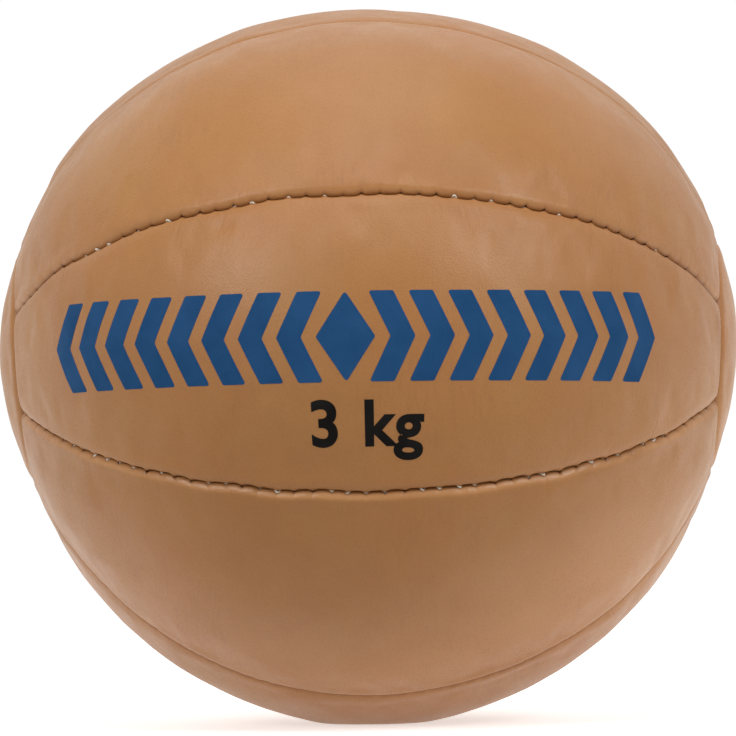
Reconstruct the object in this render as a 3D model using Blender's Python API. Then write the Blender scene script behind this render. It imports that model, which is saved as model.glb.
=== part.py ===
"""Leather medicine ball, 3 kg size.

The ball is sewn like a beach ball: eight leather gores run round a horizontal
axis (X) from one round end cap to the other.  Every leather edge is turned
inward, and neighbouring edges are held together by a thread that lies between
them, a few millimetres below the surface.  Each panel has a woven lining under
its crown, and a packed core of textile and hair fills the ball.  A ball at
rest is a little out of round, and sits on a small flat.

Frame: metres, +Z up, origin on the floor under the ball's centre.
X runs from cap to cap, -Y is the front.
"""
import math

import bmesh
import bpy
from mathutils import Vector

# ---------------------------------------------------------------- dimensions
BALL_RADIUS = 0.1400        # mean radius over the crowns of the panels
WIDE_GAIN = 0.0017          # longer from cap to cap than from floor to top
SETTLE_GAIN = 0.0020        # settled: full above mid-height, narrow below
REST_RADIUS = 0.0175        # flat that the ball stands on
REST_SAG = 0.00115          # how far that flat is pressed in

GORES = 8                   # gores round the X axis
CAP_POLAR = math.radians(19.0)   # polar radius of a cap's seam
LEATHER = 0.0024            # leather thickness
SHOULDER = 0.0045           # radius of the rolled panel edge
HALF_GAP = 0.0010           # from a seam's middle to a turned-in edge
FLANGE = 0.0090             # how deep the edges are turned in
PILLOW = 0.0008             # crown height of a panel over its edges

CLEAR = 0.0003              # gap between stacked layers
LINING = 0.0008             # woven lining
CORE_DEPTH = LEATHER + CLEAR + LINING + CLEAR
GROOVE_DEPTH = FLANGE + 0.0004
GROOVE_HALF = HALF_GAP + LEATHER + 0.00035
GROOVE_LIP = HALF_GAP + SHOULDER + 0.0005

THREAD_RADIUS = 0.00045
THREAD_DEPTH = 0.0036       # below the panel crowns, between the two edges
THREAD_STOP = 0.0017        # where a gore thread ends, from the cap seam
KNOT_RADIUS = 0.00068
CLOSING_HALF = math.radians(27.0)   # half of the stretch that is sewn last
CLOSING_GAP = math.radians(0.7)

# crown stations across a gore (fractions) and along it (angles from its middle)
REST_ANGLE = math.asin(REST_RADIUS / BALL_RADIUS)
ALONG_STEPS = 4
CAP_RINGS = 2
CAP_SEGMENTS = 32

GORE_NAMES = ("front", "front_upper", "top", "rear_upper",
              "rear", "rear_lower", "bottom", "front_lower")
SEAM_NAMES = ("front_high", "upper_front", "upper_rear", "rear_high",
              "rear_low", "lower_rear", "lower_front", "front_low")
REST_GORE = 6
CLOSING_SEAM = 4

STEP = 2.0 * math.pi / GORES


# --------------------------------------------------------------------- shape
def direction(theta, azimuth):
    """Unit vector: theta from +X, azimuth about X from the front upward."""
    return Vector((math.cos(theta),
                   -math.sin(theta) * math.cos(azimuth),
                   math.sin(theta) * math.sin(azimuth)))


def body_radius(n):
    """Radius of the stuffed ball over the crowns, in direction n."""
    return (BALL_RADIUS
            + WIDE_GAIN * (n.x * n.x - n.z * n.z)
            + SETTLE_GAIN * (3.0 * n.z - 4.0 * n.z ** 3))


CENTRE_Z = body_radius(Vector((0.0, 0.0, -1.0))) - REST_SAG


def edge_profile(inset, steps=2):
    """Rolled edge in section, as (distance from the seam, depth) pairs.

    inset 0 is the outer face, inset LEATHER the inner one.  The pairs run from
    the turned-in edge up to the crown."""
    radius = SHOULDER - inset
    pairs = []
    for i in range(steps + 1):
        a = 0.5 * math.pi * i / steps
        pairs.append((HALF_GAP + inset + radius * (1.0 - math.cos(a)),
                      inset + radius * (1.0 - math.sin(a))))
    return pairs


# Seams are planes through the X axis (between gores) and cones of polar angle
# CAP_POLAR (between gores and caps).  A point is kept at a given distance from
# them, so a turned-in edge is parallel to its neighbour at every depth.
def gore_point(k, across, along, depth):
    """across: ("seam", side, distance) or ("crown", fraction)
    along:  ("seam", side, distance) or ("crown", angle from the middle)."""
    middle = k * STEP
    theta = 0.5 * math.pi
    azimuth = middle
    radius = BALL_RADIUS - depth
    for _ in range(6):
        if along[0] == "seam":
            theta = (0.5 * math.pi
                     + along[1] * (0.5 * math.pi - CAP_POLAR
                                   - math.asin(along[2] / radius)))
        else:
            theta = 0.5 * math.pi + along[1]
        reach = radius * math.sin(theta)
        if across[0] == "seam":
            offset = across[1] * (0.5 * STEP - math.asin(across[2] / reach))
        else:
            crown = 0.5 * STEP - math.asin((HALF_GAP + SHOULDER) / reach)
            offset = across[1] * crown
        azimuth = middle + offset
        wide = min(1.0, abs(offset) / (0.5 * STEP))
        tall = min(1.0, abs(theta - 0.5 * math.pi) / (0.5 * math.pi - CAP_POLAR))
        pillow = PILLOW * (1.0 - (1.0 - wide ** 2) * (1.0 - tall ** 6))
        radius = body_radius(direction(theta, azimuth)) - pillow - depth
    return direction(theta, azimuth) * radius


def cap_point(side, ring, azimuth, depth):
    """ring: ("seam", distance) or ("crown", fraction)."""
    radius = BALL_RADIUS - depth
    theta = CAP_POLAR
    for _ in range(6):
        if ring[0] == "seam":
            theta = CAP_POLAR - math.asin(ring[1] / radius)
        else:
            theta = ring[1] * (CAP_POLAR
                               - math.asin((HALF_GAP + SHOULDER) / radius))
        n = direction(theta, azimuth)
        n.x *= side
        pillow = PILLOW * (theta / CAP_POLAR) ** 2
        radius = body_radius(n) - pillow - depth
    return n * radius


def along_angles():
    """Crown stations along a gore: the rest flat's edge, then equal steps."""
    end = 0.5 * math.pi - CAP_POLAR - math.asin((HALF_GAP + SHOULDER) / BALL_RADIUS)
    steps = [REST_ANGLE + (end - REST_ANGLE) * i / ALONG_STEPS
             for i in range(ALONG_STEPS)]
    return [-a for a in reversed(steps)] + [0.0] + steps


def across_fractions():
    crown = 0.5 * STEP - math.asin((HALF_GAP + SHOULDER) / BALL_RADIUS)
    f = REST_ANGLE / crown
    return [-f, 0.0, f]


def press_flat(k, i, j, mid_i, mid_j, point, depth, across, along):
    """Flatten the nine middle points of the resting gore to a flat octagon."""
    di, dj = i - mid_i, j - mid_j
    if k != REST_GORE or abs(di) > 1 or abs(dj) > 1:
        return point
    if di and dj:
        shrink = 1.0 / math.sqrt(2.0)
        point = gore_point(k, (across[0], across[1] * shrink),
                           (along[0], along[1] * shrink), depth)
    return Vector((point.x, point.y, depth - CENTRE_Z))


# ------------------------------------------------------------------ building
def material(name, colour, roughness, specular=0.5):
    mat = bpy.data.materials.new(name)
    mat.use_nodes = True
    shader = mat.node_tree.nodes["Principled BSDF"]
    shader.inputs["Base Color"].default_value = (*colour, 1.0)
    shader.inputs["Roughness"].default_value = roughness
    shader.inputs["Metallic"].default_value = 0.0
    shader.inputs["Specular IOR Level"].default_value = specular
    return mat


def add_mesh(name, bm, mat, parent, sharp=50.0):
    bmesh.ops.remove_doubles(bm, verts=bm.verts, dist=1e-6)
    bmesh.ops.recalc_face_normals(bm, faces=bm.faces)
    mesh = bpy.data.meshes.new(name)
    bm.to_mesh(mesh)
    bm.free()
    mesh.materials.append(mat)
    mesh.shade_smooth()
    mesh.set_sharp_from_angle(angle=math.radians(sharp))
    obj = bpy.data.objects.new(name, mesh)
    obj.parent = parent
    bpy.context.scene.collection.objects.link(obj)
    return obj


def new_loop(bm, points):
    return [bm.verts.new(p) for p in points]


def bridge(bm, loop_a, loop_b):
    n = len(loop_a)
    for i in range(n):
        j = (i + 1) % n
        bm.faces.new((loop_a[i], loop_a[j], loop_b[j], loop_b[i]))


def fill_grid(bm, grid):
    for row_a, row_b in zip(grid[:-1], grid[1:]):
        for i in range(len(row_a) - 1):
            bm.faces.new((row_a[i], row_a[i + 1], row_b[i + 1], row_b[i]))


def rim_indices(rows, cols):
    """Indices (row, col) once round the border of a grid."""
    rim = [(0, c) for c in range(cols)]
    rim += [(r, cols - 1) for r in range(1, rows)]
    rim += [(rows - 1, c) for c in range(cols - 2, -1, -1)]
    rim += [(r, 0) for r in range(rows - 2, 0, -1)]
    return rim


def stations(profile, crown, lip=None):
    """Stations over one direction of a panel, as (station, depth) pairs.

    profile is the rolled edge; lip replaces it by one plain edge station."""
    edge = profile if lip is None else [lip]
    low = [(("seam", -1, d), z) for d, z in edge]
    high = [(("seam", 1, d), z) for d, z in reversed(edge)]
    mid_depth = edge[-1][1]
    return low + [(("crown", c), mid_depth) for c in crown] + high


def gore_grid(bm, k, inset, lip=None):
    """One face of a gore, inset below the crown, as a grid of vertices."""
    profile = edge_profile(inset) if lip is None else None
    edge = None if lip is None else (lip, inset)
    across = stations(profile, across_fractions(), edge)
    along = stations(profile, along_angles(), edge)
    mid_i, mid_j = len(across) // 2, len(along) // 2
    grid = []
    for j, (sj, zj) in enumerate(along):
        row = []
        for i, (si, zi) in enumerate(across):
            depth = max(zi, zj)
            p = gore_point(k, si, sj, depth)
            p = press_flat(k, i, j, mid_i, mid_j, p, depth, si, sj)
            row.append(bm.verts.new(p))
        grid.append(row)
    return grid, across, along


def gore_rim(k, across, along, depth):
    """The border of a gore grid, carried down to a given depth."""
    return [gore_point(k, across[c][0], along[r][0], depth)
            for r, c in rim_indices(len(along), len(across))]


def leather_gore(name, k, mat, parent):
    """Crown, rolled edges and turned-in edges as one closed leather piece."""
    bm = bmesh.new()
    outer, across_o, along_o = gore_grid(bm, k, 0.0)
    inner, across_i, along_i = gore_grid(bm, k, LEATHER)
    fill_grid(bm, outer)
    fill_grid(bm, inner)
    rim = rim_indices(len(outer), len(outer[0]))
    top_outer = [outer[r][c] for r, c in rim]
    top_inner = [inner[r][c] for r, c in rim]
    tip_outer = new_loop(bm, gore_rim(k, across_o, along_o, FLANGE))
    tip_inner = new_loop(bm, gore_rim(k, across_i, along_i, FLANGE))
    bridge(bm, top_outer, tip_outer)
    bridge(bm, tip_outer, tip_inner)
    bridge(bm, tip_inner, top_inner)
    return add_mesh(name, bm, mat, parent)


def gore_lining(name, k, mat, parent):
    """Woven sheet under the crown of a gore."""
    bm = bmesh.new()
    lip = HALF_GAP + SHOULDER + 0.0004
    top, _, _ = gore_grid(bm, k, LEATHER + CLEAR, lip)
    low, _, _ = gore_grid(bm, k, LEATHER + CLEAR + LINING, lip)
    fill_grid(bm, top)
    fill_grid(bm, low)
    rim = rim_indices(len(top), len(top[0]))
    bridge(bm, [top[r][c] for r, c in rim], [low[r][c] for r, c in rim])
    return add_mesh(name, bm, mat, parent)


def cap_rings(bm, side, rings, segments):
    """Rings of a cap face, outermost first, closed by a vertex at the pole."""
    loops = []
    for ring, depth in rings:
        loops.append(new_loop(bm, [cap_point(side, ring, 2.0 * math.pi * s / segments, depth)
                                   for s in range(segments)]))
    for a, b in zip(loops[:-1], loops[1:]):
        bridge(bm, a, b)
    pole = bm.verts.new(cap_point(side, ("crown", 0.0), 0.0, rings[-1][1]))
    last = loops[-1]
    for s in range(segments):
        bm.faces.new((last[s], last[(s + 1) % segments], pole))
    return loops[0]


def cap_crown(depth):
    return [(("crown", 1.0 - i / CAP_RINGS), depth) for i in range(1, CAP_RINGS)]


def leather_cap(name, side, mat, parent):
    bm = bmesh.new()
    rims = []
    for inset in (0.0, LEATHER):
        rings = [(("seam", d), z) for d, z in edge_profile(inset)] + cap_crown(inset)
        rims.append(cap_rings(bm, side, rings, CAP_SEGMENTS))
    tips = []
    for lateral in (HALF_GAP, HALF_GAP + LEATHER):
        tips.append(new_loop(bm, [cap_point(side, ("seam", lateral),
                                            2.0 * math.pi * s / CAP_SEGMENTS, FLANGE)
                                  for s in range(CAP_SEGMENTS)]))
    bridge(bm, rims[0], tips[0])
    bridge(bm, tips[0], tips[1])
    bridge(bm, tips[1], rims[1])
    return add_mesh(name, bm, mat, parent)


def cap_lining(name, side, mat, parent):
    bm = bmesh.new()
    rims = []
    for depth in (LEATHER + CLEAR, LEATHER + CLEAR + LINING):
        rings = [(("seam", HALF_GAP + SHOULDER + 0.0004), depth)] + cap_crown(depth)
        rims.append(cap_rings(bm, side, rings, CAP_SEGMENTS))
    bridge(bm, rims[0], rims[1])
    return add_mesh(name, bm, mat, parent)


def stuffing_core(name, mat, parent):
    """Packed filling: a closed body with a groove under each seam, where the
    turned-in leather edges press into it."""
    bm = bmesh.new()
    across = [(("seam", -1, GROOVE_HALF), GROOVE_DEPTH),
              (("seam", -1, GROOVE_LIP), CORE_DEPTH)]
    across += [(("crown", f), CORE_DEPTH) for f in across_fractions()]
    across += [(("seam", 1, GROOVE_LIP), CORE_DEPTH),
               (("seam", 1, GROOVE_HALF), GROOVE_DEPTH)]
    along = [(("seam", -1, GROOVE_HALF), GROOVE_DEPTH),
             (("seam", -1, GROOVE_LIP), CORE_DEPTH)]
    along += [(("crown", a), CORE_DEPTH) for a in along_angles()]
    along += [(("seam", 1, GROOVE_LIP), CORE_DEPTH),
              (("seam", 1, GROOVE_HALF), GROOVE_DEPTH)]
    mid_i, mid_j = len(across) // 2, len(along) // 2

    rings = []
    for j, (sj, zj) in enumerate(along):
        ring = []
        for k in range(GORES):
            for i, (si, zi) in enumerate(across):
                depth = max(zi, zj)
                p = gore_point(k, si, sj, depth)
                p = press_flat(k, i, j, mid_i, mid_j, p, depth, si, sj)
                ring.append(p)
        rings.append(ring)

    def cap_side(side, reference):
        """Rings from the groove's cap wall to the crown of the cap."""
        azimuths = [math.atan2(p.z, -p.y) for p in reference]
        out = []
        for ring, depth in ([(("seam", GROOVE_HALF), GROOVE_DEPTH),
                             (("seam", GROOVE_LIP), CORE_DEPTH)]
                            + cap_crown(CORE_DEPTH)):
            out.append([cap_point(side, ring, a, depth) for a in azimuths])
        return out

    plus = cap_side(1, rings[0])
    minus = cap_side(-1, rings[-1])
    loops = [new_loop(bm, r) for r in list(reversed(plus)) + rings + minus]
    for a, b in zip(loops[:-1], loops[1:]):
        bridge(bm, a, b)
    for side, loop in ((1, loops[0]), (-1, loops[-1])):
        pole = bm.verts.new(cap_point(side, ("crown", 0.0), 0.0, CORE_DEPTH))
        n = len(loop)
        for s in range(n):
            bm.faces.new((loop[s], loop[(s + 1) % n], pole))
    return add_mesh(name, bm, mat, parent, sharp=70.0)


def thread(name, points, mat, parent, radii=None, closed=False):
    """Round thread through the given points."""
    curve = bpy.data.curves.new(name, "CURVE")
    curve.dimensions = "3D"
    curve.bevel_depth = THREAD_RADIUS
    curve.bevel_resolution = 1
    curve.use_fill_caps = not closed
    curve.materials.append(mat)
    spline = curve.splines.new("POLY")
    spline.points.add(len(points) - 1)
    for i, (slot, p) in enumerate(zip(spline.points, points)):
        slot.co = (*p, 1.0)
        slot.radius = 1.0 if radii is None else radii[i]
    spline.use_cyclic_u = closed
    spline.use_smooth = True
    obj = bpy.data.objects.new(name, curve)
    obj.parent = parent
    bpy.context.scene.collection.objects.link(obj)
    return obj


def seam_line(seam, start, stop):
    """Points of the seam after gore number seam, between two angles measured
    from the middle of the gores."""
    grid = [a for a in along_angles() if start + 0.02 < a < stop - 0.02]
    azimuth = (seam + 0.5) * STEP
    points = []
    for a in [start] + grid + [stop]:
        theta = 0.5 * math.pi + a
        n = direction(theta, azimuth)
        points.append(n * (body_radius(n) - PILLOW - THREAD_DEPTH))
    return points


def cap_seam_line(side, count):
    points = []
    for s in range(count):
        n = direction(CAP_POLAR, 2.0 * math.pi * s / count)
        n.x *= side
        points.append(n * (body_radius(n) - PILLOW - THREAD_DEPTH))
    return points


# -------------------------------------------------------------------- object
def build():
    for obj in list(bpy.data.objects):
        bpy.data.objects.remove(obj, do_unlink=True)

    ball = bpy.data.objects.new("ball_centre", None)
    ball.location = (0.0, 0.0, CENTRE_Z)
    bpy.context.scene.collection.objects.link(ball)

    tan = (0.44, 0.24, 0.115)
    canvas = (0.62, 0.55, 0.42)
    for k, gore in enumerate(GORE_NAMES):
        leather = material("leather_gore_" + gore, tan, 0.52)
        leather_gore("leather_gore_" + gore, k, leather, ball)
        woven = material("lining_gore_" + gore, canvas, 0.9, 0.2)
        gore_lining("lining_gore_" + gore, k, woven, ball)

    for side, cap in ((-1, "left"), (1, "right")):
        leather = material("leather_cap_" + cap, tan, 0.52)
        leather_cap("leather_cap_" + cap, side, leather, ball)
        woven = material("lining_cap_" + cap, canvas, 0.9, 0.2)
        cap_lining("lining_cap_" + cap, side, woven, ball)

    end = 0.5 * math.pi - CAP_POLAR - THREAD_STOP / BALL_RADIUS
    waxed = (0.66, 0.60, 0.48)
    for seam, place in enumerate(SEAM_NAMES):
        name = "seam_thread_" + place
        if seam != CLOSING_SEAM:
            thread(name, seam_line(seam, -end, end),
                   material(name, waxed, 0.6), ball)
            continue
        # positive angles run towards -X
        split = CLOSING_HALF + CLOSING_GAP
        thread(name + "_right", seam_line(seam, -end, -split),
               material(name + "_right", waxed, 0.6), ball)
        thread(name + "_left", seam_line(seam, split, end),
               material(name + "_left", waxed, 0.6), ball)
        points = seam_line(seam, -CLOSING_HALF, CLOSING_HALF)
        knot = KNOT_RADIUS / THREAD_RADIUS
        nib = 0.0016 / BALL_RADIUS
        inner = seam_line(seam, -CLOSING_HALF + nib, CLOSING_HALF - nib)
        shank = seam_line(seam, -CLOSING_HALF + 2 * nib, CLOSING_HALF - 2 * nib)
        points = ([points[0], inner[0], shank[0]] + shank[1:-1]
                  + [shank[-1], inner[-1], points[-1]])
        radii = [0.7, knot] + [1.0] * (len(points) - 4) + [knot, 0.7]
        thread("closing_thread", points,
               material("closing_thread", (0.58, 0.50, 0.36), 0.6), ball, radii)

    for side, cap in ((-1, "left"), (1, "right")):
        name = "cap_thread_" + cap
        thread(name, cap_seam_line(side, 40), material(name, waxed, 0.6), ball,
               closed=True)

    stuffing_core("stuffing_core",
                  material("stuffing_core", (0.33, 0.29, 0.24), 0.95, 0.2), ball)


build()
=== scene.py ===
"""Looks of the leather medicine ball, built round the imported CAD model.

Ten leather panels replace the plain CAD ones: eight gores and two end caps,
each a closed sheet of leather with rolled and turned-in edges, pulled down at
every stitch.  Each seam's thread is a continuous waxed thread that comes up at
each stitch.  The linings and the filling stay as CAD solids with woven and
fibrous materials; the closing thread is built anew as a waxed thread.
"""
import math

import bmesh
import bpy
import numpy as np
from mathutils import Matrix, Vector
from mathutils.bvhtree import BVHTree


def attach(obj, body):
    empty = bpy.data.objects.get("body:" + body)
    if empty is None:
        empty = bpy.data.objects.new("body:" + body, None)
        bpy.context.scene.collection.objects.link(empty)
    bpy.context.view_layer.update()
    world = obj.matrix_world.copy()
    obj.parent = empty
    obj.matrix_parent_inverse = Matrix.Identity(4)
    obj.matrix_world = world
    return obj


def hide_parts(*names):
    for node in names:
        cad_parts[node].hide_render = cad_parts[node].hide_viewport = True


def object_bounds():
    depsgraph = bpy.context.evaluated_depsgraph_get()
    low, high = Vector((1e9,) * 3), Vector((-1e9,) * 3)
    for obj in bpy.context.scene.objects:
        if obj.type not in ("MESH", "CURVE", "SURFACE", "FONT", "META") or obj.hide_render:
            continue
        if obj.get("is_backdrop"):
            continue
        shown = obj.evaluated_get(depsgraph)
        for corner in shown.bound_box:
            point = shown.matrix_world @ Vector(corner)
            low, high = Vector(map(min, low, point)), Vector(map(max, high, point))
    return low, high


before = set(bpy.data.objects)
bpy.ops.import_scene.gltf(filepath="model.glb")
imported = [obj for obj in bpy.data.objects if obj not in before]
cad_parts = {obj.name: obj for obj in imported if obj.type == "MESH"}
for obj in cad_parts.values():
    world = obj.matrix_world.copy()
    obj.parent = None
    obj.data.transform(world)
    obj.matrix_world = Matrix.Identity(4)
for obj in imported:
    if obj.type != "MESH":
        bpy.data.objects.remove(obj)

CAD_LOW, CAD_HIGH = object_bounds()

# ------------------------------------------------------------------ the frame
# The same design as the CAD: sizes that the CAD box gives are read from it.
BALL_RADIUS = -CAD_LOW.y
WIDE_GAIN = CAD_HIGH.x - BALL_RADIUS
SETTLE_GAIN = 0.0020
CENTRE_Z = CAD_HIGH.z - (BALL_RADIUS - WIDE_GAIN - SETTLE_GAIN)
GORES = 8
STEP = 2.0 * math.pi / GORES
CAP_POLAR = math.radians(19.0)
PILLOW = 0.0009
LEATHER = 0.0021
FLANGE = 0.0084

GORE_NAMES = ("front", "front_upper", "top", "rear_upper",
              "rear", "rear_lower", "bottom", "front_lower")
SEAM_NAMES = ("front_high", "upper_front", "upper_rear", "rear_high",
              "rear_low", "lower_rear", "lower_front", "front_low")
REST_GORE = 6
CLOSING_SEAM = 4

MM = 0.001
# a rolled edge in section: a tight turn (half axes and power of its ellipse),
# and a long soft shoulder (how deep, how wide)
# the sides of a gore: even ones end sharply and lie under, odd ones roll over
GORE_SIDES = ((1.7 * MM, 1.6 * MM, 1.05 * MM, 11.0 * MM, 2.0),
              (3.3 * MM, 2.9 * MM, 0.75 * MM, 10.0 * MM, 2.0))
GORE_END = (2.9 * MM, 2.3 * MM, 0.45 * MM, 9.0 * MM, 2.0)
CAP_EDGE = (3.2 * MM, 3.2 * MM, 0.45 * MM, 8.0 * MM, 2.0)
GAP = 0.13 * MM             # half of the slit between two panels
HOLE = 0.12 * MM            # how much wider each side is at a stitch
PITCH = 6.6 * MM            # stitch to stitch
THREAD = 0.36 * MM          # thread radius
REST_RADIUS = 0.019         # contact flat
TAUT = 0.33                 # how much of the sheets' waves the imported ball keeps


def out_of_round(n):
    """A hand-packed ball is never quite round: slow swellings and flats."""
    x, z = n[..., 0], n[..., 2]
    turn = np.arctan2(z, x)
    out = (0.222 * np.cos(2 * turn) - 0.225 * np.sin(2 * turn)
           - 0.268 * np.cos(3 * turn) + 0.126 * np.sin(3 * turn)
           + 0.110 * np.cos(4 * turn) - 0.152 * np.sin(4 * turn)
           - 0.308 * np.cos(5 * turn) + 0.167 * np.sin(5 * turn))
    return 0.9 * MM * out * (x * x + z * z) ** 2 * smooth(z, -0.985, -0.90)


def body_radius(n):
    """Radius over the crowns for unit vectors n (..., 3)."""
    x, z = n[..., 0], n[..., 2]
    return (BALL_RADIUS + WIDE_GAIN * (x * x - z * z)
            + SETTLE_GAIN * (3.0 * z - 4.0 * z ** 3) + out_of_round(n))


def direction(theta, azimuth):
    return np.stack([np.cos(theta) + 0.0 * azimuth,
                     -np.sin(theta) * np.cos(azimuth),
                     np.sin(theta) * np.sin(azimuth)], -1)


# --------------------------------------------------------------- smooth noise
class Waves:
    """Smooth noise: a sum of plane waves of about one wavelength (metres)."""

    def __init__(self, wavelength, seed, count=28, spread=0.35):
        rng = np.random.default_rng(seed)
        d = rng.normal(size=(count, 3))
        d /= np.linalg.norm(d, axis=1)[:, None]
        size = 2.0 * math.pi / wavelength * (1.0 + spread * rng.uniform(-1, 1, count))
        self.k = d * size[:, None]
        self.phase = rng.uniform(0, 2 * math.pi, count)
        self.scale = math.sqrt(2.0 / count)

    def __call__(self, p):
        shape = p.shape[:-1]
        q = p.reshape(-1, 3)
        out = np.zeros(len(q))
        for k, f in zip(self.k, self.phase):
            out += np.cos(q @ k + f)
        return (out * self.scale).reshape(shape)


WAVE_BROAD = Waves(0.075, 11)
WAVE_MIDDLE = Waves(0.026, 12)
WAVE_SMALL = Waves(0.009, 13)


def smooth(x, low, high):
    t = np.clip((x - low) / (high - low), 0.0, 1.0)
    return t * t * (3.0 - 2.0 * t)


# ---------------------------------------------------------------------- seams
class Seam:
    """One sewn seam, with a coordinate s along it in metres.

    Neighbouring panels lie over and under each other in turn: at each stitch
    the thread pulls a small notch into the upper one's edge, and the lower
    one's edge pokes into it."""

    def __init__(self, seed, length, sign, closed=False):
        rng = np.random.default_rng(seed)
        calm = 0.35 if closed else 1.0
        self.closed = closed
        self.length = length
        self.sign = sign
        if closed:
            count = int(round(length / PITCH))
            step = length / count
            self.at = (np.arange(count) + 0.5) * step - 0.5 * length
        else:
            count = int(math.floor((length - 5.0 * MM) / PITCH)) + 1
            step = PITCH
            self.at = (np.arange(count) - 0.5 * (count - 1)) * step
        self.step = step
        self.at = self.at + rng.uniform(-0.55, 0.55, count) * MM
        self.width = rng.uniform(0.75, 1.1, count) * MM
        self.notch = rng.uniform(0.45, 1.15, count) * MM * calm
        self.arc = rng.uniform(0.03, 0.15, count) * MM * calm
        if not closed:      # finer towards the ends of a seam
            self.notch = self.notch * (1.0 - 0.28 * smooth(np.abs(self.at), 0.30 * length, 0.42 * length))
        self.pull = rng.uniform(0.5, 1.3, (2, count)) * calm
        self.slant = rng.normal(0.0, 0.22, (2, count))
        self.reach = rng.uniform(0.9, 2.0, (2, count)) * MM
        # puckers: livelier along the middle of a seam than near its ends
        lively = calm * (1.0 - 0.7 * smooth(np.abs(self.at), 0.28 * length, 0.48 * length))
        self.crease = ((rng.uniform(0, 1, (2, count)) < 0.6)
                       * rng.uniform(0.02, 0.11, (2, count)) * MM * lively)
        self.crease_reach = rng.uniform(4.0, 12.0, (2, count)) * MM
        self.crease_slant = rng.normal(0.0, 0.28, (2, count))
        self.crease_off = rng.uniform(-2.0, 2.0, (2, count)) * MM
        self.puff = rng.uniform(0.4, 1.5, (2, count)) * lively
        self.lift = rng.uniform(0.0, 1.0, count) ** 0.8
        self.lift = np.maximum(self.lift, smooth(np.abs(self.at), 0.36 * length, 0.43 * length))
        self.wave = [(rng.uniform(0.10, 0.26) * MM, 2 * math.pi / rng.uniform(22, 60) / MM,
                      rng.uniform(0, 6.28)) for _ in range(4)]
        if closed:    # whole periods round a closed seam
            self.wave = [(a, 2 * math.pi * round(k * length / (2 * math.pi)) / length, f)
                         for a, k, f in self.wave]
        # fine wrinkles across the lip
        self.fine = [(rng.uniform(0.5, 1.0) * calm, 2 * math.pi / rng.uniform(2.3, 6.0) / MM,
                      rng.uniform(0, 6.28), rng.uniform(-0.7, 0.7)) for _ in range(7)]

    def gaps(self, s):
        """(s - stitch) for every stitch, s of any shape, last axis stitches."""
        d = s[..., None] - self.at
        if self.closed:
            d = (d + 0.5 * self.length) % self.length - 0.5 * self.length
        return d

    def along(self, values, s):
        """Values given at the stitches, read in between."""
        if self.closed:
            return np.interp(s, self.at, values, period=self.length)
        return np.interp(s, self.at, values)

    def between(self, s):
        """0 at a stitch and 1 half way between two."""
        near = np.abs(self.gaps(s)).min(-1)
        return 0.5 - 0.5 * np.cos(np.clip(near / (0.5 * self.step), 0, 1) * math.pi)

    def slit(self, s):
        """Half width of the slit."""
        return GAP + HOLE * np.exp(-(self.gaps(s) / (0.8 * MM)) ** 2).max(-1)

    def wobble(self, s):
        out = np.zeros_like(s)
        for a, k, f in self.wave:
            out += a * np.sin(k * s + f)
        return out

    def line(self, s):
        """Sideways place of the meeting line, apart from its slow wobble."""
        gaps = self.gaps(s)
        notch = (self.notch * np.exp(-(np.abs(gaps) / (1.02 * MM)) ** 1.35)).max(-1)
        return self.sign * (notch - self.along(self.arc, s) * self.between(s))

    def dent(self, s, reach, side):
        """How far (metres) the leather is pulled in, reach metres from the slit."""
        gaps = self.gaps(s)
        r = reach[..., None]
        width = self.width + 0.16 * r
        over = side == (0 if self.sign < 0 else 1)     # this panel is the notched one
        pull = ((0.11 if over else 0.08) * MM * self.pull[side]
                * np.exp(-(r / self.reach[side]) ** 1.6)
                * np.exp(-((gaps - self.slant[side] * r) / width) ** 2))
        x = (gaps - self.crease_off[side] - self.crease_slant[side] * r) / (0.85 * MM)
        far = np.exp(-(r / self.crease_reach[side]) ** 4) * (1 - np.exp(-(r / (1.6 * MM)) ** 2))
        crease = self.crease[side] * (1.0 - 1.2 * x * x) * np.exp(-x * x) * far
        puff = self.along(self.puff[side], s) * self.between(s)
        body = (0.035 if over else 0.02) * MM * np.exp(-((reach - 2.4 * MM) / (2.4 * MM)) ** 2) * puff
        fine = np.zeros_like(reach)
        if over and not self.closed:
            for a, k, f, lean in self.fine:
                fine += a * np.sin(k * (s - lean * reach) + f)
            fine *= 0.030 * MM * np.exp(-((reach - 1.7 * MM) / (1.3 * MM)) ** 2)
            fine *= 0.6 + 0.4 * np.sin(s * 2 * math.pi / (31 * MM) + self.wave[0][2])
        return pull.max(-1) + crease.sum(-1) + fine - body


LONG = 2.0 * (0.5 * math.pi - CAP_POLAR) * (BALL_RADIUS - 3.5 * MM)
ROUND = 2.0 * math.pi * math.sin(CAP_POLAR) * (BALL_RADIUS - 3.5 * MM)
GORE_SEAMS = [Seam(100 + q, LONG, 1 if q % 2 == 0 else -1) for q in range(GORES)]
CAP_SEAMS = {1: Seam(201, ROUND, 1, closed=True), -1: Seam(202, ROUND, 1, closed=True)}
WIDE_FALL = 10.0 * MM       # how far a seam's wobble and notches carry into the panels
NOTCH_FALL = 1.25 * MM     # how far a notch reaches in


def along_seam(theta):
    """Coordinate along a gore seam; it grows towards -X."""
    return (theta - 0.5 * math.pi) * (BALL_RADIUS - 3.5 * MM)


def round_cap(azimuth):
    """Coordinate along a cap seam."""
    a = (azimuth + math.pi) % (2 * math.pi) - math.pi
    return a * math.sin(CAP_POLAR) * (BALL_RADIUS - 3.5 * MM)


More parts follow.
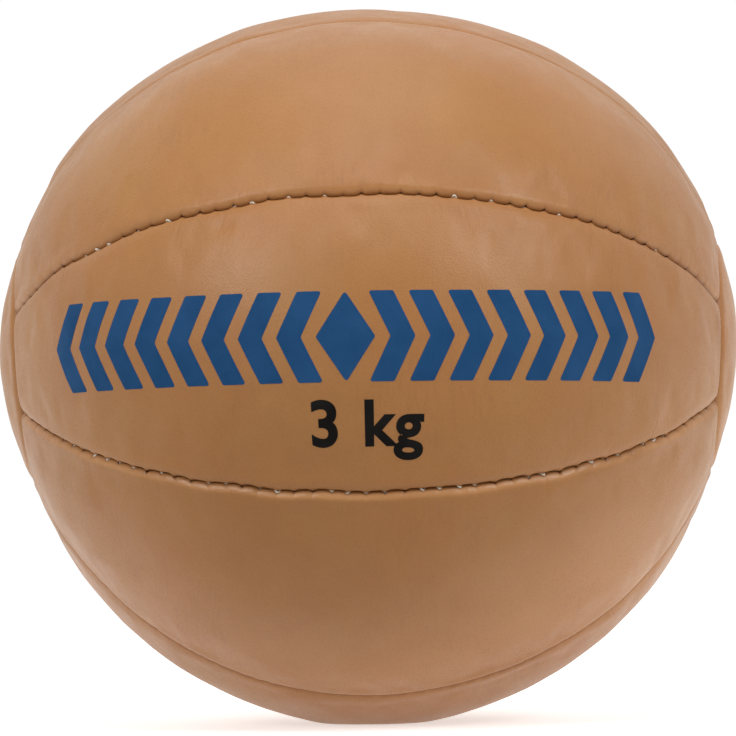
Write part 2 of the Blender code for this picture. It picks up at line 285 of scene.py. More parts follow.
def roll_depth(d_u, d_v, side, end):
    """Depth of the rolled edges, d_u and d_v away from the slits."""
    a = np.clip(1.0 - d_u / side[0], 0, 1)
    b = np.clip(1.0 - d_v / end[0], 0, 1)
    rr = np.sqrt(a * a + b * b)
    turn = side[1] + (end[1] - side[1]) * b * b / (a * a + b * b + 1e-9)
    power = side[4] + (end[4] - side[4]) * b * b / (a * a + b * b + 1e-9)
    inside = 1.0 - np.clip(1.0 - rr ** power, 0.0, 1.0) ** (1.0 / power)
    tight = turn * np.where(rr < 1.0, inside, 1.0 + (rr - 1.0) * 0.9)
    soft = np.hypot(side[2] * np.clip(1.0 - d_u / side[3], 0, 1) ** 2,
                    end[2] * np.clip(1.0 - d_v / end[3], 0, 1) ** 2)
    return tight + soft


def edge_stations():
    """Distances from the slit's wall for the lines near an edge."""
    roll = 4.6 * MM * (1.0 - np.cos(np.linspace(0.0, 0.5 * math.pi, 13)))
    return np.concatenate([roll, roll[-1] + np.cumsum(np.linspace(0.7, 1.6, 8)) * MM])


EDGE = edge_stations()
EDGE_END = EDGE[-1]


# ---------------------------------------------------------------- gore surface
def gore_fields(k, across, along):
    """across: (side, distance, fraction) arrays over the lines across a gore;
    along: the same over the lines along it.  Returns directions, radius, roll
    depth, dent, the distances to the side and end seams, the coordinate along the
    side seam, azimuth and polar angle."""
    (ua, ud, uf), (va, vd, vf) = across, along
    shape = (len(va), len(ua))
    UA, UD, UF = (np.broadcast_to(x[None, :], shape) for x in (ua, ud, uf))
    VA, VD, VF = (np.broadcast_to(x[:, None], shape) for x in (va, vd, vf))
    middle = k * STEP
    half_v = 0.5 * math.pi - CAP_POLAR
    radius = np.full(shape, BALL_RADIUS)
    theta = np.full(shape, 0.5 * math.pi)
    azimuth = np.full(shape, middle)
    upper, lower = GORE_SEAMS[k], GORE_SEAMS[(k - 1) % GORES]
    for _ in range(3):
        # cap seams: slit half-width from the pinch of the cap's stitches
        end_v = half_v - np.arcsin((EDGE_END + GAP) / radius)
        s_cap = round_cap(azimuth)
        ends = np.abs(VA) > 0
        slit_v, wob_v, line_v = np.zeros(shape), np.zeros(shape), np.zeros(shape)
        for pick, seam in ((VA > 0, CAP_SEAMS[-1]), (VA < 0, CAP_SEAMS[1])):
            slit_v[pick] = seam.slit(s_cap[pick])
            wob_v[pick] = seam.wobble(s_cap[pick])
            line_v[pick] = seam.line(s_cap[pick])
        off_v = (VD + slit_v + wob_v * np.exp(-(VD / WIDE_FALL) ** 2)
                 + line_v * np.exp(-(VD / NOTCH_FALL) ** 2))
        theta = 0.5 * math.pi + np.where(
            VA == 0, VF * end_v, VA * (half_v - np.arcsin(off_v / radius)))
        reach = radius * np.sin(theta)
        end_u = 0.5 * STEP - np.arcsin((EDGE_END + GAP) / reach)
        s = along_seam(theta)
        slit_u, wob_u, line_u = np.zeros(shape), np.zeros(shape), np.zeros(shape)
        # a seam's line is measured towards the higher gore number
        for pick, seam, sign in ((UA > 0, upper, -1.0), (UA < 0, lower, 1.0)):
            slit_u[pick] = seam.slit(s[pick])
            wob_u[pick] = sign * seam.wobble(s[pick])
            line_u[pick] = sign * seam.line(s[pick])
        off_u = (UD + slit_u + wob_u * np.exp(-(UD / WIDE_FALL) ** 2)
                 + line_u * np.exp(-(UD / NOTCH_FALL) ** 2))
        offset = np.where(UA == 0, UF * end_u,
                          UA * (0.5 * STEP - np.arcsin(np.clip(off_u / reach, -1, 1))))
        azimuth = middle + offset
        wide = np.clip(np.abs(offset) / (0.5 * STEP), 0, 1)
        tall = np.clip(np.abs(theta - 0.5 * math.pi) / half_v, 0, 1)
        pillow = PILLOW * (1.0 - (1.0 - wide ** 2.2) * (1.0 - tall ** 8))
        n = direction(theta, azimuth)
        radius = body_radius(n) - pillow
    # distances (metres) to the two near seams, for rolls and dents
    d_u = (0.5 * STEP - np.abs(offset)) * reach - slit_u
    d_v = (half_v - np.abs(theta - 0.5 * math.pi)) * radius - slit_v
    d_u = np.where(UA == 0, np.maximum(d_u, EDGE_END), UD)
    d_v = np.where(VA == 0, np.maximum(d_v, EDGE_END), VD)
    # a notch cuts into the lip and leaves the roll round it as it is
    cut = 0.85 * np.maximum(line_u, 0.0) * np.exp(-(d_u / NOTCH_FALL) ** 2)
    depth = roll_depth(d_u + cut, d_v, GORE_SIDES[k % 2], GORE_END)
    side_u = offset > 0
    dent = np.zeros(shape)
    near = d_u < 16 * MM
    # side 0 of a seam is its lower gore number, side 1 the higher one
    for seam, pick, side in ((upper, near & side_u, 0), (lower, near & ~side_u, 1)):
        if pick.any():
            dent[pick] += seam.dent(s[pick], d_u[pick], side) * smooth(d_v[pick], 0.5 * MM, 4 * MM)
    near = d_v < 16 * MM
    for seam, pick in ((CAP_SEAMS[-1], near & (theta > 0.5 * math.pi)),
                       (CAP_SEAMS[1], near & (theta <= 0.5 * math.pi))):
        if pick.any():
            dent[pick] += seam.dent(round_cap(azimuth[pick]), d_v[pick], 1) * smooth(d_u[pick], 0.5 * MM, 4 * MM)
    return n, radius, depth, dent, d_u, d_v, s, azimuth, theta


def undulation(p, d):
    """Slow waves in the stuffed leather, a little livelier near the seams."""
    near = np.exp(-(d / (16 * MM)) ** 2)
    calm = smooth(d, 0.0, 7 * MM)
    return (0.30 * MM * WAVE_BROAD(p) * calm
            + (0.05 + 0.13 * near) * MM * WAVE_MIDDLE(p) * calm
            + (0.010 + 0.035 * near) * MM * WAVE_SMALL(p) * calm)


def rest_press(p):
    """The flat that the ball stands on: what would be under the floor comes up
    to it, with a soft edge round the flat."""
    soft = 0.18 * MM
    z = p[..., 2]
    out = p.copy()
    out[..., 2] = np.where(z > 20 * soft, z, soft * np.log1p(np.exp(np.minimum(z / soft, 30.0))))
    return out


class Bulge:
    """Displacement of a panel's crown from its cloth simulation."""

    def __init__(self):
        self.fields = {}

    def keep(self, key, rise, shape):
        """Take the even part away: only the waves stay, and they are shallow,
        since the leather is packed tight."""
        if key[0] == "cap":
            rise = np.concatenate([np.full(shape[1], rise[0]), rise[1:]]).reshape(shape[0] + 1, shape[1])
            rise = np.concatenate([rise[:, -3:], rise, rise[:, :3]], 1)
        else:
            rise = rise.reshape(shape)
        even = np.median(rise[2:-2, 2:-2])
        waves = (rise - even) * TAUT
        self.fields[key] = np.clip(waves, -0.6 * MM, 0.6 * MM)

    def polar(self, key, frac, azimuth):
        """frac 0 at the pole and 1 at the seam."""
        if key not in self.fields:
            return np.zeros_like(frac)
        n = self.fields[key].shape[1] - 6
        turn = (azimuth / (2 * math.pi)) % 1.0 * n + 3.0
        u = turn / (self.fields[key].shape[1] - 1) * 2.0 - 1.0
        return self.sample(key, u, frac * 2.0 - 1.0)

    def sample(self, key, fu, fv):
        if key not in self.fields:
            return np.zeros_like(fu)
        grid = self.fields[key]
        nv, nu = grid.shape
        x = np.clip((fu * 0.5 + 0.5) * (nu - 1), 0, nu - 1 - 1e-6)
        y = np.clip((fv * 0.5 + 0.5) * (nv - 1), 0, nv - 1 - 1e-6)
        ix, iy = x.astype(int), y.astype(int)
        fx, fy = x - ix, y - iy

        def weights(t):
            return (-0.5 * t + t * t - 0.5 * t ** 3, 1 - 2.5 * t * t + 1.5 * t ** 3,
                    0.5 * t + 2 * t * t - 1.5 * t ** 3, -0.5 * t * t + 0.5 * t ** 3)
        wx, wy = weights(fx), weights(fy)
        out = np.zeros_like(fu)
        for j in range(4):
            jj = np.clip(iy + j - 1, 0, nv - 1)
            for i in range(4):
                ii = np.clip(ix + i - 1, 0, nu - 1)
                out += wy[j] * wx[i] * grid[jj, ii]
        return out


BULGE = Bulge()


def simulate_panels():
    """Leather pulled over the filling: each panel is a sheet cut slightly too
    large, held along its edges and pressed out from inside.  Its height over
    the ideal surface goes to BULGE."""
    jobs = []
    nu, nv = 39, 101
    for k in range(GORES):
        fu, fv = np.meshgrid(np.linspace(-1, 1, nu), np.linspace(-1, 1, nv))
        azimuth = k * STEP + fu * 0.5 * STEP
        theta = 0.5 * math.pi + fv * (0.5 * math.pi - CAP_POLAR)
        faces = grid_faces(nv, nu)
        pin = [i for i in range(nu * nv)
               if i % nu in (0, nu - 1) or i // nu in (0, nv - 1)]
        jobs.append((("gore", k), direction(theta, azimuth).reshape(-1, 3), faces, pin, (nv, nu)))
    rings, segments = 15, 64
    for side in (-1, 1):
        frac, azimuth = np.meshgrid(np.linspace(0, 1, rings)[1:], np.linspace(0, 2 * math.pi, segments, endpoint=False), indexing="ij")
        n = direction(frac * CAP_POLAR, azimuth) * np.array([side, 1.0, 1.0])
        pts = np.concatenate([[[side, 0.0, 0.0]], n.reshape(-1, 3)])
        ids = np.arange((rings - 1) * segments).reshape(rings - 1, segments) + 1
        faces = [[int(x) for x in f] for r in range(rings - 2)
                 for f in band_faces(ids[r], ids[r + 1], side < 0)]
        for j in range(segments):
            tri = [0, int(ids[0][j]), int(ids[0][(j + 1) % segments])]
            faces.append(tri[::-1] if side < 0 else tri)
        faces = [f[::-1] for f in faces] if side > 0 and False else faces
        jobs.append((("cap", side), pts, faces, [int(x) for x in ids[-1]], (rings - 1, segments)))
    scene = bpy.context.scene
    sheets = []
    for key, n, faces, pin, shape in jobs:
        rng = np.random.default_rng(hash_key(key))
        base = body_radius(n)
        rough = Waves(0.020, hash_key(key) + 1)(n * BALL_RADIUS) * 0.15 * MM
        p = n * (base + rough)[:, None]
        mesh = bpy.data.meshes.new("sheet")
        mesh.from_pydata(p.tolist(), [], [list(map(int, f)) for f in faces])
        obj = bpy.data.objects.new("sheet", mesh)
        scene.collection.objects.link(obj)
        group = obj.vertex_groups.new(name="pin")
        group.add([int(i) for i in pin], 1.0, "REPLACE")
        cloth = obj.modifiers.new("Cloth", "CLOTH")
        c = cloth.settings
        c.quality = 7
        c.mass = 0.25
        c.tension_stiffness = c.compression_stiffness = 18.0
        c.shear_stiffness = 8.0
        c.bending_stiffness = 1.2
        c.vertex_group_mass = "pin"
        c.pin_stiffness = 1.0
        c.shrink_min = -0.022
        c.shrink_max = -0.022
        c.use_pressure = True
        c.uniform_pressure_force = 3.0
        c.air_damping = 3.0
        c.effector_weights.gravity = 0.0
        cloth.collision_settings.use_collision = False
        cloth.point_cache.frame_start = 1
        cloth.point_cache.frame_end = 20
        sheets.append((key, obj, base, shape))
    for frame_number in range(1, 21):
        scene.frame_set(frame_number)
    graph = bpy.context.evaluated_depsgraph_get()
    for key, obj, base, shape in sheets:
        made = obj.evaluated_get(graph).data
        co = np.empty(len(made.vertices) * 3, np.float32)
        made.vertices.foreach_get("co", co)
        rise = np.linalg.norm(co.reshape(-1, 3), axis=1) - base
        print("cloth", key, "rise mm", (rise.min() * 1000).round(2), (rise.mean() * 1000).round(2),
              (rise.max() * 1000).round(2))
        BULGE.keep(key, rise, shape)
    for key, obj, base, shape in sheets:
        mesh = obj.data
        bpy.data.objects.remove(obj)
        bpy.data.meshes.remove(mesh)
    scene.frame_set(1)


def hash_key(key):
    return 700 + (key[1] if key[0] == "gore" else 20 + key[1])


def line_set(count, near_only=False):
    """Lines over one direction of a gore: (side, distance, fraction)."""
    side = np.concatenate([-np.ones(len(EDGE)), np.zeros(count), np.ones(len(EDGE))])
    dist = np.concatenate([EDGE, np.zeros(count), EDGE[::-1]])
    frac = np.concatenate([np.zeros(len(EDGE)), np.linspace(-1, 1, count + 2)[1:-1],
                           np.zeros(len(EDGE))])
    return side, dist, frac


def rim_of(rows, cols):
    rim = [(0, c) for c in range(cols)]
    rim += [(r, cols - 1) for r in range(1, rows)]
    rim += [(rows - 1, c) for c in range(cols - 2, -1, -1)]
    rim += [(r, 0) for r in range(rows - 2, 0, -1)]
    return np.array(rim)


def new_object(name, verts, faces, attributes=None, mats=()):
    mesh = bpy.data.meshes.new(name)
    mesh.from_pydata(verts, [], faces)
    mesh.validate()
    for key, values in (attributes or {}).items():
        layer = mesh.attributes.new(key, "FLOAT", "POINT")
        layer.data.foreach_set("value", np.asarray(values, np.float32))
    mesh.shade_smooth()
    for m in mats:
        mesh.materials.append(m)
    obj = bpy.data.objects.new(name, mesh)
    bpy.context.scene.collection.objects.link(obj)
    return obj


def grid_faces(rows, cols, base=0, flip=False):
    r, c = np.meshgrid(np.arange(rows - 1), np.arange(cols - 1), indexing="ij")
    a = base + (r * cols + c).ravel()
    quad = np.stack([a, a + 1, a + cols + 1, a + cols], 1)
    return quad[:, ::-1] if flip else quad


def band_faces(loop_a, loop_b, flip=False):
    a, b = np.asarray(loop_a), np.asarray(loop_b)
    quad = np.stack([a, np.roll(a, -1), np.roll(b, -1), b], 1)
    return quad[:, ::-1] if flip else quad


def build_gore(k, mat, tone):
    across = line_set(26)
    along = line_set(750)
    n, radius, depth, dent, d_u, d_v, s, azimuth, theta = gore_fields(k, across, along)
    rows, cols = depth.shape
    d = np.minimum(d_u, d_v)
    base = n * radius[..., None]
    offset = azimuth - k * STEP
    fu = offset / (0.5 * STEP)
    fv = (theta - 0.5 * math.pi) / (0.5 * math.pi - CAP_POLAR)
    swell = BULGE.sample(("gore", k), fu, fv) * smooth(d, 2 * MM, 9 * MM)
    rise = undulation(base, d) + swell - depth - dent
    outer = n * (radius + rise)[..., None]
    outer[..., 2] += CENTRE_Z
    if k == REST_GORE:
        outer = rest_press(outer)
    verts = [outer.reshape(-1, 3)]
    edge_attr = [np.clip(d / (14 * MM), 0, 1).ravel()]
    pinch_attr = [np.clip(dent / (1.2 * MM), 0, 1).ravel()]
    # painted highlight: a paler band along the rolled lips of the odd gores
    lip = np.zeros(depth.shape)
    if k % 2:
        lip = np.exp(-((d_u - 1.6 * MM) / (1.2 * MM)) ** 2) * smooth(d_v, 1.0 * MM, 6.0 * MM)
        # painted highlight: strongest on the lip of the gore below the front panel
        lip *= np.where((k == 7) & (azimuth > k * STEP), 1.15, 0.60)
    lip_attr = [lip.ravel()]
    faces = [grid_faces(rows, cols)]
    rim = rim_of(rows, cols)
    rim_ids = rim[:, 0] * cols + rim[:, 1]
    centre = np.array([0.0, 0.0, CENTRE_Z])
    count = rows * cols

    # turned-in edge: the rim goes straight down between the slit's walls
    rim_p = outer[rim[:, 0], rim[:, 1]]
    rim_n = n[rim[:, 0], rim[:, 1]]
    uneven = out_of_round(n)
    rim_depth = (depth + dent - undulation(base, d) - uneven)[rim[:, 0], rim[:, 1]]
    loops = [rim_ids]

    def add_loop(points, edge=0.0):
        nonlocal count
        verts.append(points)
        edge_attr.append(np.full(len(points), edge))
        pinch_attr.append(np.zeros(len(points)))
        lip_attr.append(np.zeros(len(points)))
        ids = np.arange(count, count + len(points))
        count += len(points)
        loops.append(ids)
        return ids

    # direction from the rim towards the panel's inside, along the wall
    inward = wall_inward(k, rim, rows, cols, rim_p)
    for share, back in ((0.13, 0.34), (0.45, 0.42), (1.0, 0.25)):
        drop = (FLANGE - rim_depth) * share
        add_loop(rim_p - rim_n * drop[:, None] + inward * back * MM)
    tip = verts[-1]
    add_loop(tip + inward * LEATHER)
    add_loop(rim_p - rim_n * 0.6 * MM + inward * LEATHER)
    for a, b in zip(loops[:-1], loops[1:]):
        faces.append(band_faces(a, b))

    # coarse inner face
    step_r, step_c = 14, 4
    cr = np.unique(np.concatenate([np.arange(0, rows, step_r), [rows - 1]]))
    cc = np.unique(np.concatenate([np.arange(0, cols, step_c), [cols - 1]]))
    inner = n * (radius + rise - uneven + depth * 0.6 + dent * 0.5 - LEATHER)[..., None]
    inner[..., 2] += CENTRE_Z
    if k == REST_GORE:
        inner[..., 2] = np.maximum(inner[..., 2], LEATHER)
    # the inner rim sits inside the turned-in edge
    push = smooth(d, 0.0, 6 * MM)[..., None]
    toward = (base / np.linalg.norm(base, axis=-1, keepdims=True))
    grid_in = inner[np.ix_(cr, cc)]
    rim_c = rim_of(len(cr), len(cc))
    last = loops[-1]
    place = {(int(r), int(c)): i for i, (r, c) in enumerate(rim)}
    ids = np.full((len(cr), len(cc)), -1)
    body = []
    for i in range(1, len(cr) - 1):
        for j in range(1, len(cc) - 1):
            ids[i, j] = count + len(body)
            body.append(grid_in[i, j])
    for i, j in rim_c:
        ids[i, j] = last[place[(int(cr[i]), int(cc[j]))]]
    verts.append(np.array(body))
    edge_attr.append(np.zeros(len(body)))
    pinch_attr.append(np.zeros(len(body)))
    lip_attr.append(np.zeros(len(body)))
    count += len(body)
    inner_faces = []
    for i in range(len(cr) - 1):
        for j in range(len(cc) - 1):
            quad = [ids[i, j], ids[i + 1, j], ids[i + 1, j + 1], ids[i, j + 1]]
            inner_faces.append(quad)
    # the border cells take in the fine rim vertices along their outer side
    polys = []
    R, C = len(cr) - 1, len(cc) - 1
    for i in range(R):
        for j in range(C):
            loop = []
            # walk (i,j) -> (i+1,j) -> (i+1,j+1) -> (i,j+1)
            def run(r0, c0, r1, c1):
                rr = range(cr[r0], cr[r1] + (1 if cr[r1] >= cr[r0] else -1), 1 if cr[r1] >= cr[r0] else -1)
                ccs = range(cc[c0], cc[c1] + (1 if cc[c1] >= cc[c0] else -1), 1 if cc[c1] >= cc[c0] else -1)
                if r0 == r1 and r0 in (0, R):
                    return [last[place[(int(cr[r0]), int(c))]] for c in ccs][:-1]
                if c0 == c1 and c0 in (0, C):
                    return [last[place[(int(r), int(cc[c0]))]] for r in rr][:-1]
                return [ids[r0, c0]]
            loop += run(i, j, i + 1, j)
            loop += run(i + 1, j, i + 1, j + 1)
            loop += run(i + 1, j + 1, i, j + 1)
            loop += run(i, j + 1, i, j)
            polys.append([int(x) for x in loop])
    all_faces = [list(map(int, f)) for block in faces for f in block] + polys
    obj = new_object("gore_" + GORE_NAMES[k], np.concatenate(verts), all_faces,
                     {"edge": np.concatenate(edge_attr), "pinch": np.concatenate(pinch_attr),
                      "lip": np.concatenate(lip_attr), "tone": np.full(count, tone)}, [mat])
    return obj, outer, (n, azimuth, theta)


def wall_inward(k, rim, rows, cols, points):
    """Unit vectors from each rim point into the panel, square to the wall."""
    out = np.zeros((len(rim), 3))
    middle = k * STEP
    seam_up = middle + 0.5 * STEP
    seam_dn = middle - 0.5 * STEP
    # normals of the seam planes, pointing into the gore
    def plane_normal(azimuth, sign):
        # derivative of the direction by azimuth, sign towards the gore's middle
        return sign * np.array([0.0, math.sin(azimuth), math.cos(azimuth)])
    up = plane_normal(seam_up, -1.0)
    dn = plane_normal(seam_dn, 1.0)
    rel = points - np.array([0.0, 0.0, CENTRE_Z])
    length = np.linalg.norm(rel, axis=1)
    az = np.arctan2(rel[:, 2], -rel[:, 1])
    for i, (r, c) in enumerate(rim):
        if c == 0:
            out[i] += dn
        if c == cols - 1:
            out[i] += up
        if r == 0 or r == rows - 1:
            # away from the cap: derivative of direction by theta (towards the middle)
            t = math.acos(max(-1.0, min(1.0, rel[i, 0] / length[i])))
            sign = 1.0 if r == 0 else -1.0
            out[i] += sign * np.array([-math.sin(t), -math.cos(t) * math.cos(az[i]),
                                       math.cos(t) * math.sin(az[i])])
    return out


# ------------------------------------------------------------------------ caps
def build_cap(side, mat, tone):
    seam = CAP_SEAMS[side * 1]
    segments = 660
    azimuth = np.linspace(0, 2 * math.pi, segments, endpoint=False)
    crown = np.linspace(1.0, 0.0, 22)[1:]
    dist = np.concatenate([EDGE, np.full(len(crown), -1.0)])
    frac = np.concatenate([np.zeros(len(EDGE)), crown])
    shape = (len(dist), segments)
    D = np.broadcast_to(dist[:, None], shape)
    F = np.broadcast_to(frac[:, None], shape)
    A = np.broadcast_to(azimuth[None, :], shape)
    s = round_cap(A)
    slit = seam.slit(s)
    radius = np.full(shape, BALL_RADIUS)
    for _ in range(3):
        end = CAP_POLAR - np.arcsin((EDGE_END + GAP) / radius)
        off = (D + slit - seam.wobble(s) * np.exp(-(D / WIDE_FALL) ** 2)
               - seam.line(s) * np.exp(-(D / NOTCH_FALL) ** 2))
        theta = np.where(D < 0, F * end, CAP_POLAR - np.arcsin(off / radius))
        n = direction(theta, A)
        n = n * np.array([side, 1.0, 1.0])
        pillow = PILLOW * (theta / CAP_POLAR) ** 2.2
        radius = body_radius(n) - pillow
    d = np.where(D < 0, np.maximum((CAP_POLAR - theta) * radius, EDGE_END), D)
    depth = roll_depth(d, np.full_like(d, 1.0), CAP_EDGE, GORE_END)
    dent = np.zeros(shape)
    near = d < 16 * MM
    dent[near] = seam.dent(s[near], d[near], 0)
    base = n * radius[..., None]
    rise = undulation(base, d) + BULGE.polar(("cap", side), theta / CAP_POLAR, A) * smooth(d, 2 * MM, 9 * MM) - depth - dent
    outer = n * (radius + rise)[..., None]
    outer[..., 2] += CENTRE_Z
    rows = len(dist)
    pole_row = outer[-1].mean(0)
    body = outer[:-1]
    rows -= 1
    verts = [body.reshape(-1, 3), pole_row[None, :]]
    edge_attr = [np.clip(d[:-1] / (14 * MM), 0, 1).ravel(), np.ones(1)]
    pinch_attr = [np.clip(dent[:-1] / (1.2 * MM), 0, 1).ravel(), np.zeros(1)]
    ids = np.arange(rows * segments).reshape(rows, segments)
    pole = rows * segments
    count = pole + 1
    flip = side > 0
    faces = []
    for r in range(rows - 1):
        faces.append(band_faces(ids[r], ids[r + 1], flip))
    tri = np.stack([ids[-1], np.roll(ids[-1], -1), np.full(segments, pole)], 1)
    if flip:
        tri = tri[:, ::-1]
    rim_p = outer[0]
    rim_n = n[0]
    rim_depth = (depth + dent - undulation(base, d) - out_of_round(n))[0]
    t = theta[0]
    inward = np.stack([np.sin(t) * side, np.cos(t) * np.cos(azimuth) , -np.cos(t) * np.sin(azimuth)], -1)
    loops = [ids[0]]

    def add_loop(points):
        nonlocal count
        verts.append(points)
        edge_attr.append(np.zeros(len(points)))
        pinch_attr.append(np.zeros(len(points)))
        new = np.arange(count, count + len(points))
        count += len(points)
        loops.append(new)
        return new
    for share, back in ((0.13, 0.34), (0.45, 0.42), (1.0, 0.25)):
        add_loop(rim_p - rim_n * ((FLANGE - rim_depth) * share)[:, None] + inward * back * MM)
    add_loop(verts[-1] + inward * LEATHER)
    add_loop(rim_p - rim_n * 0.6 * MM + inward * LEATHER)
    for fraction in (0.80, 0.5, 0.25):
        th = t * fraction
        nn = direction(th, azimuth) * np.array([side, 1.0, 1.0])
        rr = body_radius(nn) - out_of_round(nn) - LEATHER - PILLOW * fraction ** 2 - (1.1 * MM if fraction > 0.7 else 0.0)
        p = nn * rr[:, None]
        p[:, 2] += CENTRE_Z
        add_loop(p)
    for a_, b_ in zip(loops[:-1], loops[1:]):
        faces.append(band_faces(a_, b_, not flip))
    nn = np.array([side, 0.0, 0.0])
    p = nn * (body_radius(nn) - LEATHER)
    p[2] += CENTRE_Z
    verts.append(p[None, :])
    edge_attr.append(np.zeros(1))
    pinch_attr.append(np.zeros(1))
    tri2 = np.stack([loops[-1], np.roll(loops[-1], -1), np.full(segments, count)], 1)
    count += 1
    if not flip:
        tri2 = tri2[:, ::-1]
    all_faces = [list(map(int, f)) for block in faces for f in block]
    all_faces += [list(map(int, f)) for f in tri] + [list(map(int, f)) for f in tri2]
    return new_object("cap_" + ("right" if side > 0 else "left"), np.concatenate(verts), all_faces,
                      {"edge": np.concatenate(edge_attr), "pinch": np.concatenate(pinch_attr),
                       "lip": np.zeros(count), "tone": np.full(count, tone)}, [mat])


# --------------------------------------------------------------------- threads
def tube(name, points, radius, sides, mat, closed=False, twist=0.0):
    """Round thread through points (N, 3), with a light ply in its surface."""
    p = np.asarray(points)
    n = len(p)
    if closed:
        tangent = np.roll(p, -1, 0) - np.roll(p, 1, 0)
    else:
        tangent = np.gradient(p, axis=0)
    tangent /= np.linalg.norm(tangent, axis=1)[:, None]
    ref = p - np.array([0.0, 0.0, CENTRE_Z])
    ref -= (ref * tangent).sum(1)[:, None] * tangent
    ref /= np.linalg.norm(ref, axis=1)[:, None]
    other = np.cross(tangent, ref)
    step = np.linalg.norm(np.diff(p, axis=0), axis=1)
    run = np.concatenate([[0.0], np.cumsum(step)])
    ang = np.linspace(0, 2 * math.pi, sides, endpoint=False)
    turn = run * twist
    rings = []
    for i in range(n):
        a = ang + turn[i]
        r = radius * (1.0 + 0.13 * np.cos(3 * ang))
        rings.append(p[i] + r[:, None] * (np.cos(a)[:, None] * ref[i] + np.sin(a)[:, None] * other[i]))
    verts = np.concatenate(rings)
    ids = np.arange(n * sides).reshape(n, sides)
    faces = []
    for i in range(n - 1):
        faces += [list(map(int, f)) for f in band_faces(ids[i], ids[i + 1], True)]
    if closed:
        faces += [list(map(int, f)) for f in band_faces(ids[-1], ids[0], True)]
    else:
        faces.append([int(x) for x in ids[0]])
        faces.append([int(x) for x in ids[-1][::-1]])
    return new_object(name, verts, faces, None, [mat])


def stitch_path(seam, low, high, rng):
    """The thread of a seam between two coordinates: it runs deep between the
    edges and comes up in the notch of each stitch."""
    rows = []
    inside = (seam.at > low + 2.6 * MM) & (seam.at < high - 2.6 * MM)
    if seam.closed:
        inside = np.ones(len(seam.at), bool)
    for at, lift in zip(seam.at[inside], seam.lift[inside]):
        top = 1.4 + 2.9 * lift
        lean = rng.uniform(0.3, 0.8) * (1 if rng.uniform() < 0.8 else -1)
        for t, lateral, deep in ((-2.3, 0.0, 5.4), (-1.35, -0.2, 4.8), (-0.75, -0.55, top + 0.75),
                                 (-0.25, -0.2, top), (0.25, 0.2, top), (0.75, 0.55, top + 0.75),
                                 (1.35, 0.2, 4.8), (2.3, 0.0, 5.4)):
            rows.append((at + t * MM, lateral * lean * MM, deep * MM))
    if not seam.closed:
        rows = [(low, 0.0, 5.6 * MM)] + rows + [(high, 0.0, 5.6 * MM)]
    return np.array(rows)


def smooth_line(points, closed, step):
    """A smooth curve through the points, resampled."""
    p = np.asarray(points)
    if closed:
        p = np.vstack([p[-1:], p, p[:2]])
    else:
        p = np.vstack([p[:1], p, p[-1:]])
    out = []
    for i in range(1, len(p) - 2):
        a, b, c, d = p[i - 1], p[i], p[i + 1], p[i + 2]
        m = max(2, int(np.linalg.norm(c - b) / step))
        for t in np.arange(m) / m:
            out.append(0.5 * ((2 * b) + (-a + c) * t + (2 * a - 5 * b + 4 * c - d) * t * t
                              + (-a + 3 * b - 3 * c + d) * t ** 3))
    if not closed:
        out.append(p[-2])
    return np.array(out)


def gore_seam_points(q, rows):
    seam = GORE_SEAMS[q]
    s, lateral, deep = rows.T
    theta = 0.5 * math.pi + s / (BALL_RADIUS - 3.5 * MM)
    az0 = (q + 0.5) * STEP
    base = direction(theta, np.full_like(theta, az0))
    reach = (BALL_RADIUS - deep) * np.sin(theta)
    shift = seam.line(s) * np.clip((5.2 * MM - deep) / (1.5 * MM), 0, 1)
    az = az0 + (lateral + shift + seam.wobble(s)) / reach
    n = direction(theta, az)
    r = body_radius(n) - PILLOW - deep
    p = n * r[:, None]
    p[:, 2] += CENTRE_Z
    return p


def cap_seam_points(side, rows):
    seam = CAP_SEAMS[side]
    s, lateral, deep = rows.T
    az = s / (math.sin(CAP_POLAR) * (BALL_RADIUS - 3.5 * MM))
    shift = seam.line(s) * np.clip((5.2 * MM - deep) / (1.5 * MM), 0, 1)
    theta = CAP_POLAR + (lateral + shift + seam.wobble(s)) / (BALL_RADIUS - deep)
    n = direction(theta, az) * np.array([side, 1.0, 1.0])
    r = body_radius(n) - PILLOW - deep
    p = n * r[:, None]
    p[:, 2] += CENTRE_Z
    return p


# ------------------------------------------------------------------- materials
def node_material(name):
    mat = bpy.data.materials.new(name)
    mat.use_nodes = True
    return mat, mat.node_tree, mat.node_tree.nodes["Principled BSDF"]


def add(nt, kind, **values):
    node = nt.nodes.new(kind)
    for key, value in values.items():
        if key.startswith("in_"):
            node.inputs[key[3:].replace("_", " ")].default_value = value
        else:
            setattr(node, key, value)
    return node


def math_node(nt, operation, a, b=None, clamp=False):
    node = nt.nodes.new("ShaderNodeMath")
    node.operation = operation
    node.use_clamp = clamp
    for socket, value in zip(node.inputs, (a, b)):
        if value is None:
            continue
        if isinstance(value, (int, float)):
            socket.default_value = value
        else:
            nt.links.new(value, socket)
    return node.outputs[0]


def ramp(nt, source, low, high, a=0.0, b=1.0):
    node = nt.nodes.new("ShaderNodeMapRange")
    node.inputs["From Min"].default_value = low
    node.inputs["From Max"].default_value = high
    node.inputs["To Min"].default_value = a
    node.inputs["To Max"].default_value = b
    node.clamp = True
    nt.links.new(source, node.inputs["Value"])
    return node.outputs["Result"]


def mix_colour(nt, factor, a, b, blend="MIX"):
    node = nt.nodes.new("ShaderNodeMix")
    node.data_type = "RGBA"
    node.blend_type = blend
    node.clamp_factor = True
    if isinstance(factor, (int, float)):
        node.inputs[0].default_value = factor
    else:
        nt.links.new(factor, node.inputs[0])
    for socket, value in ((node.inputs[6], a), (node.inputs[7], b)):
        if isinstance(value, tuple):
            socket.default_value = (*value, 1.0)
        else:
            nt.links.new(value, socket)
    return node.outputs[2]


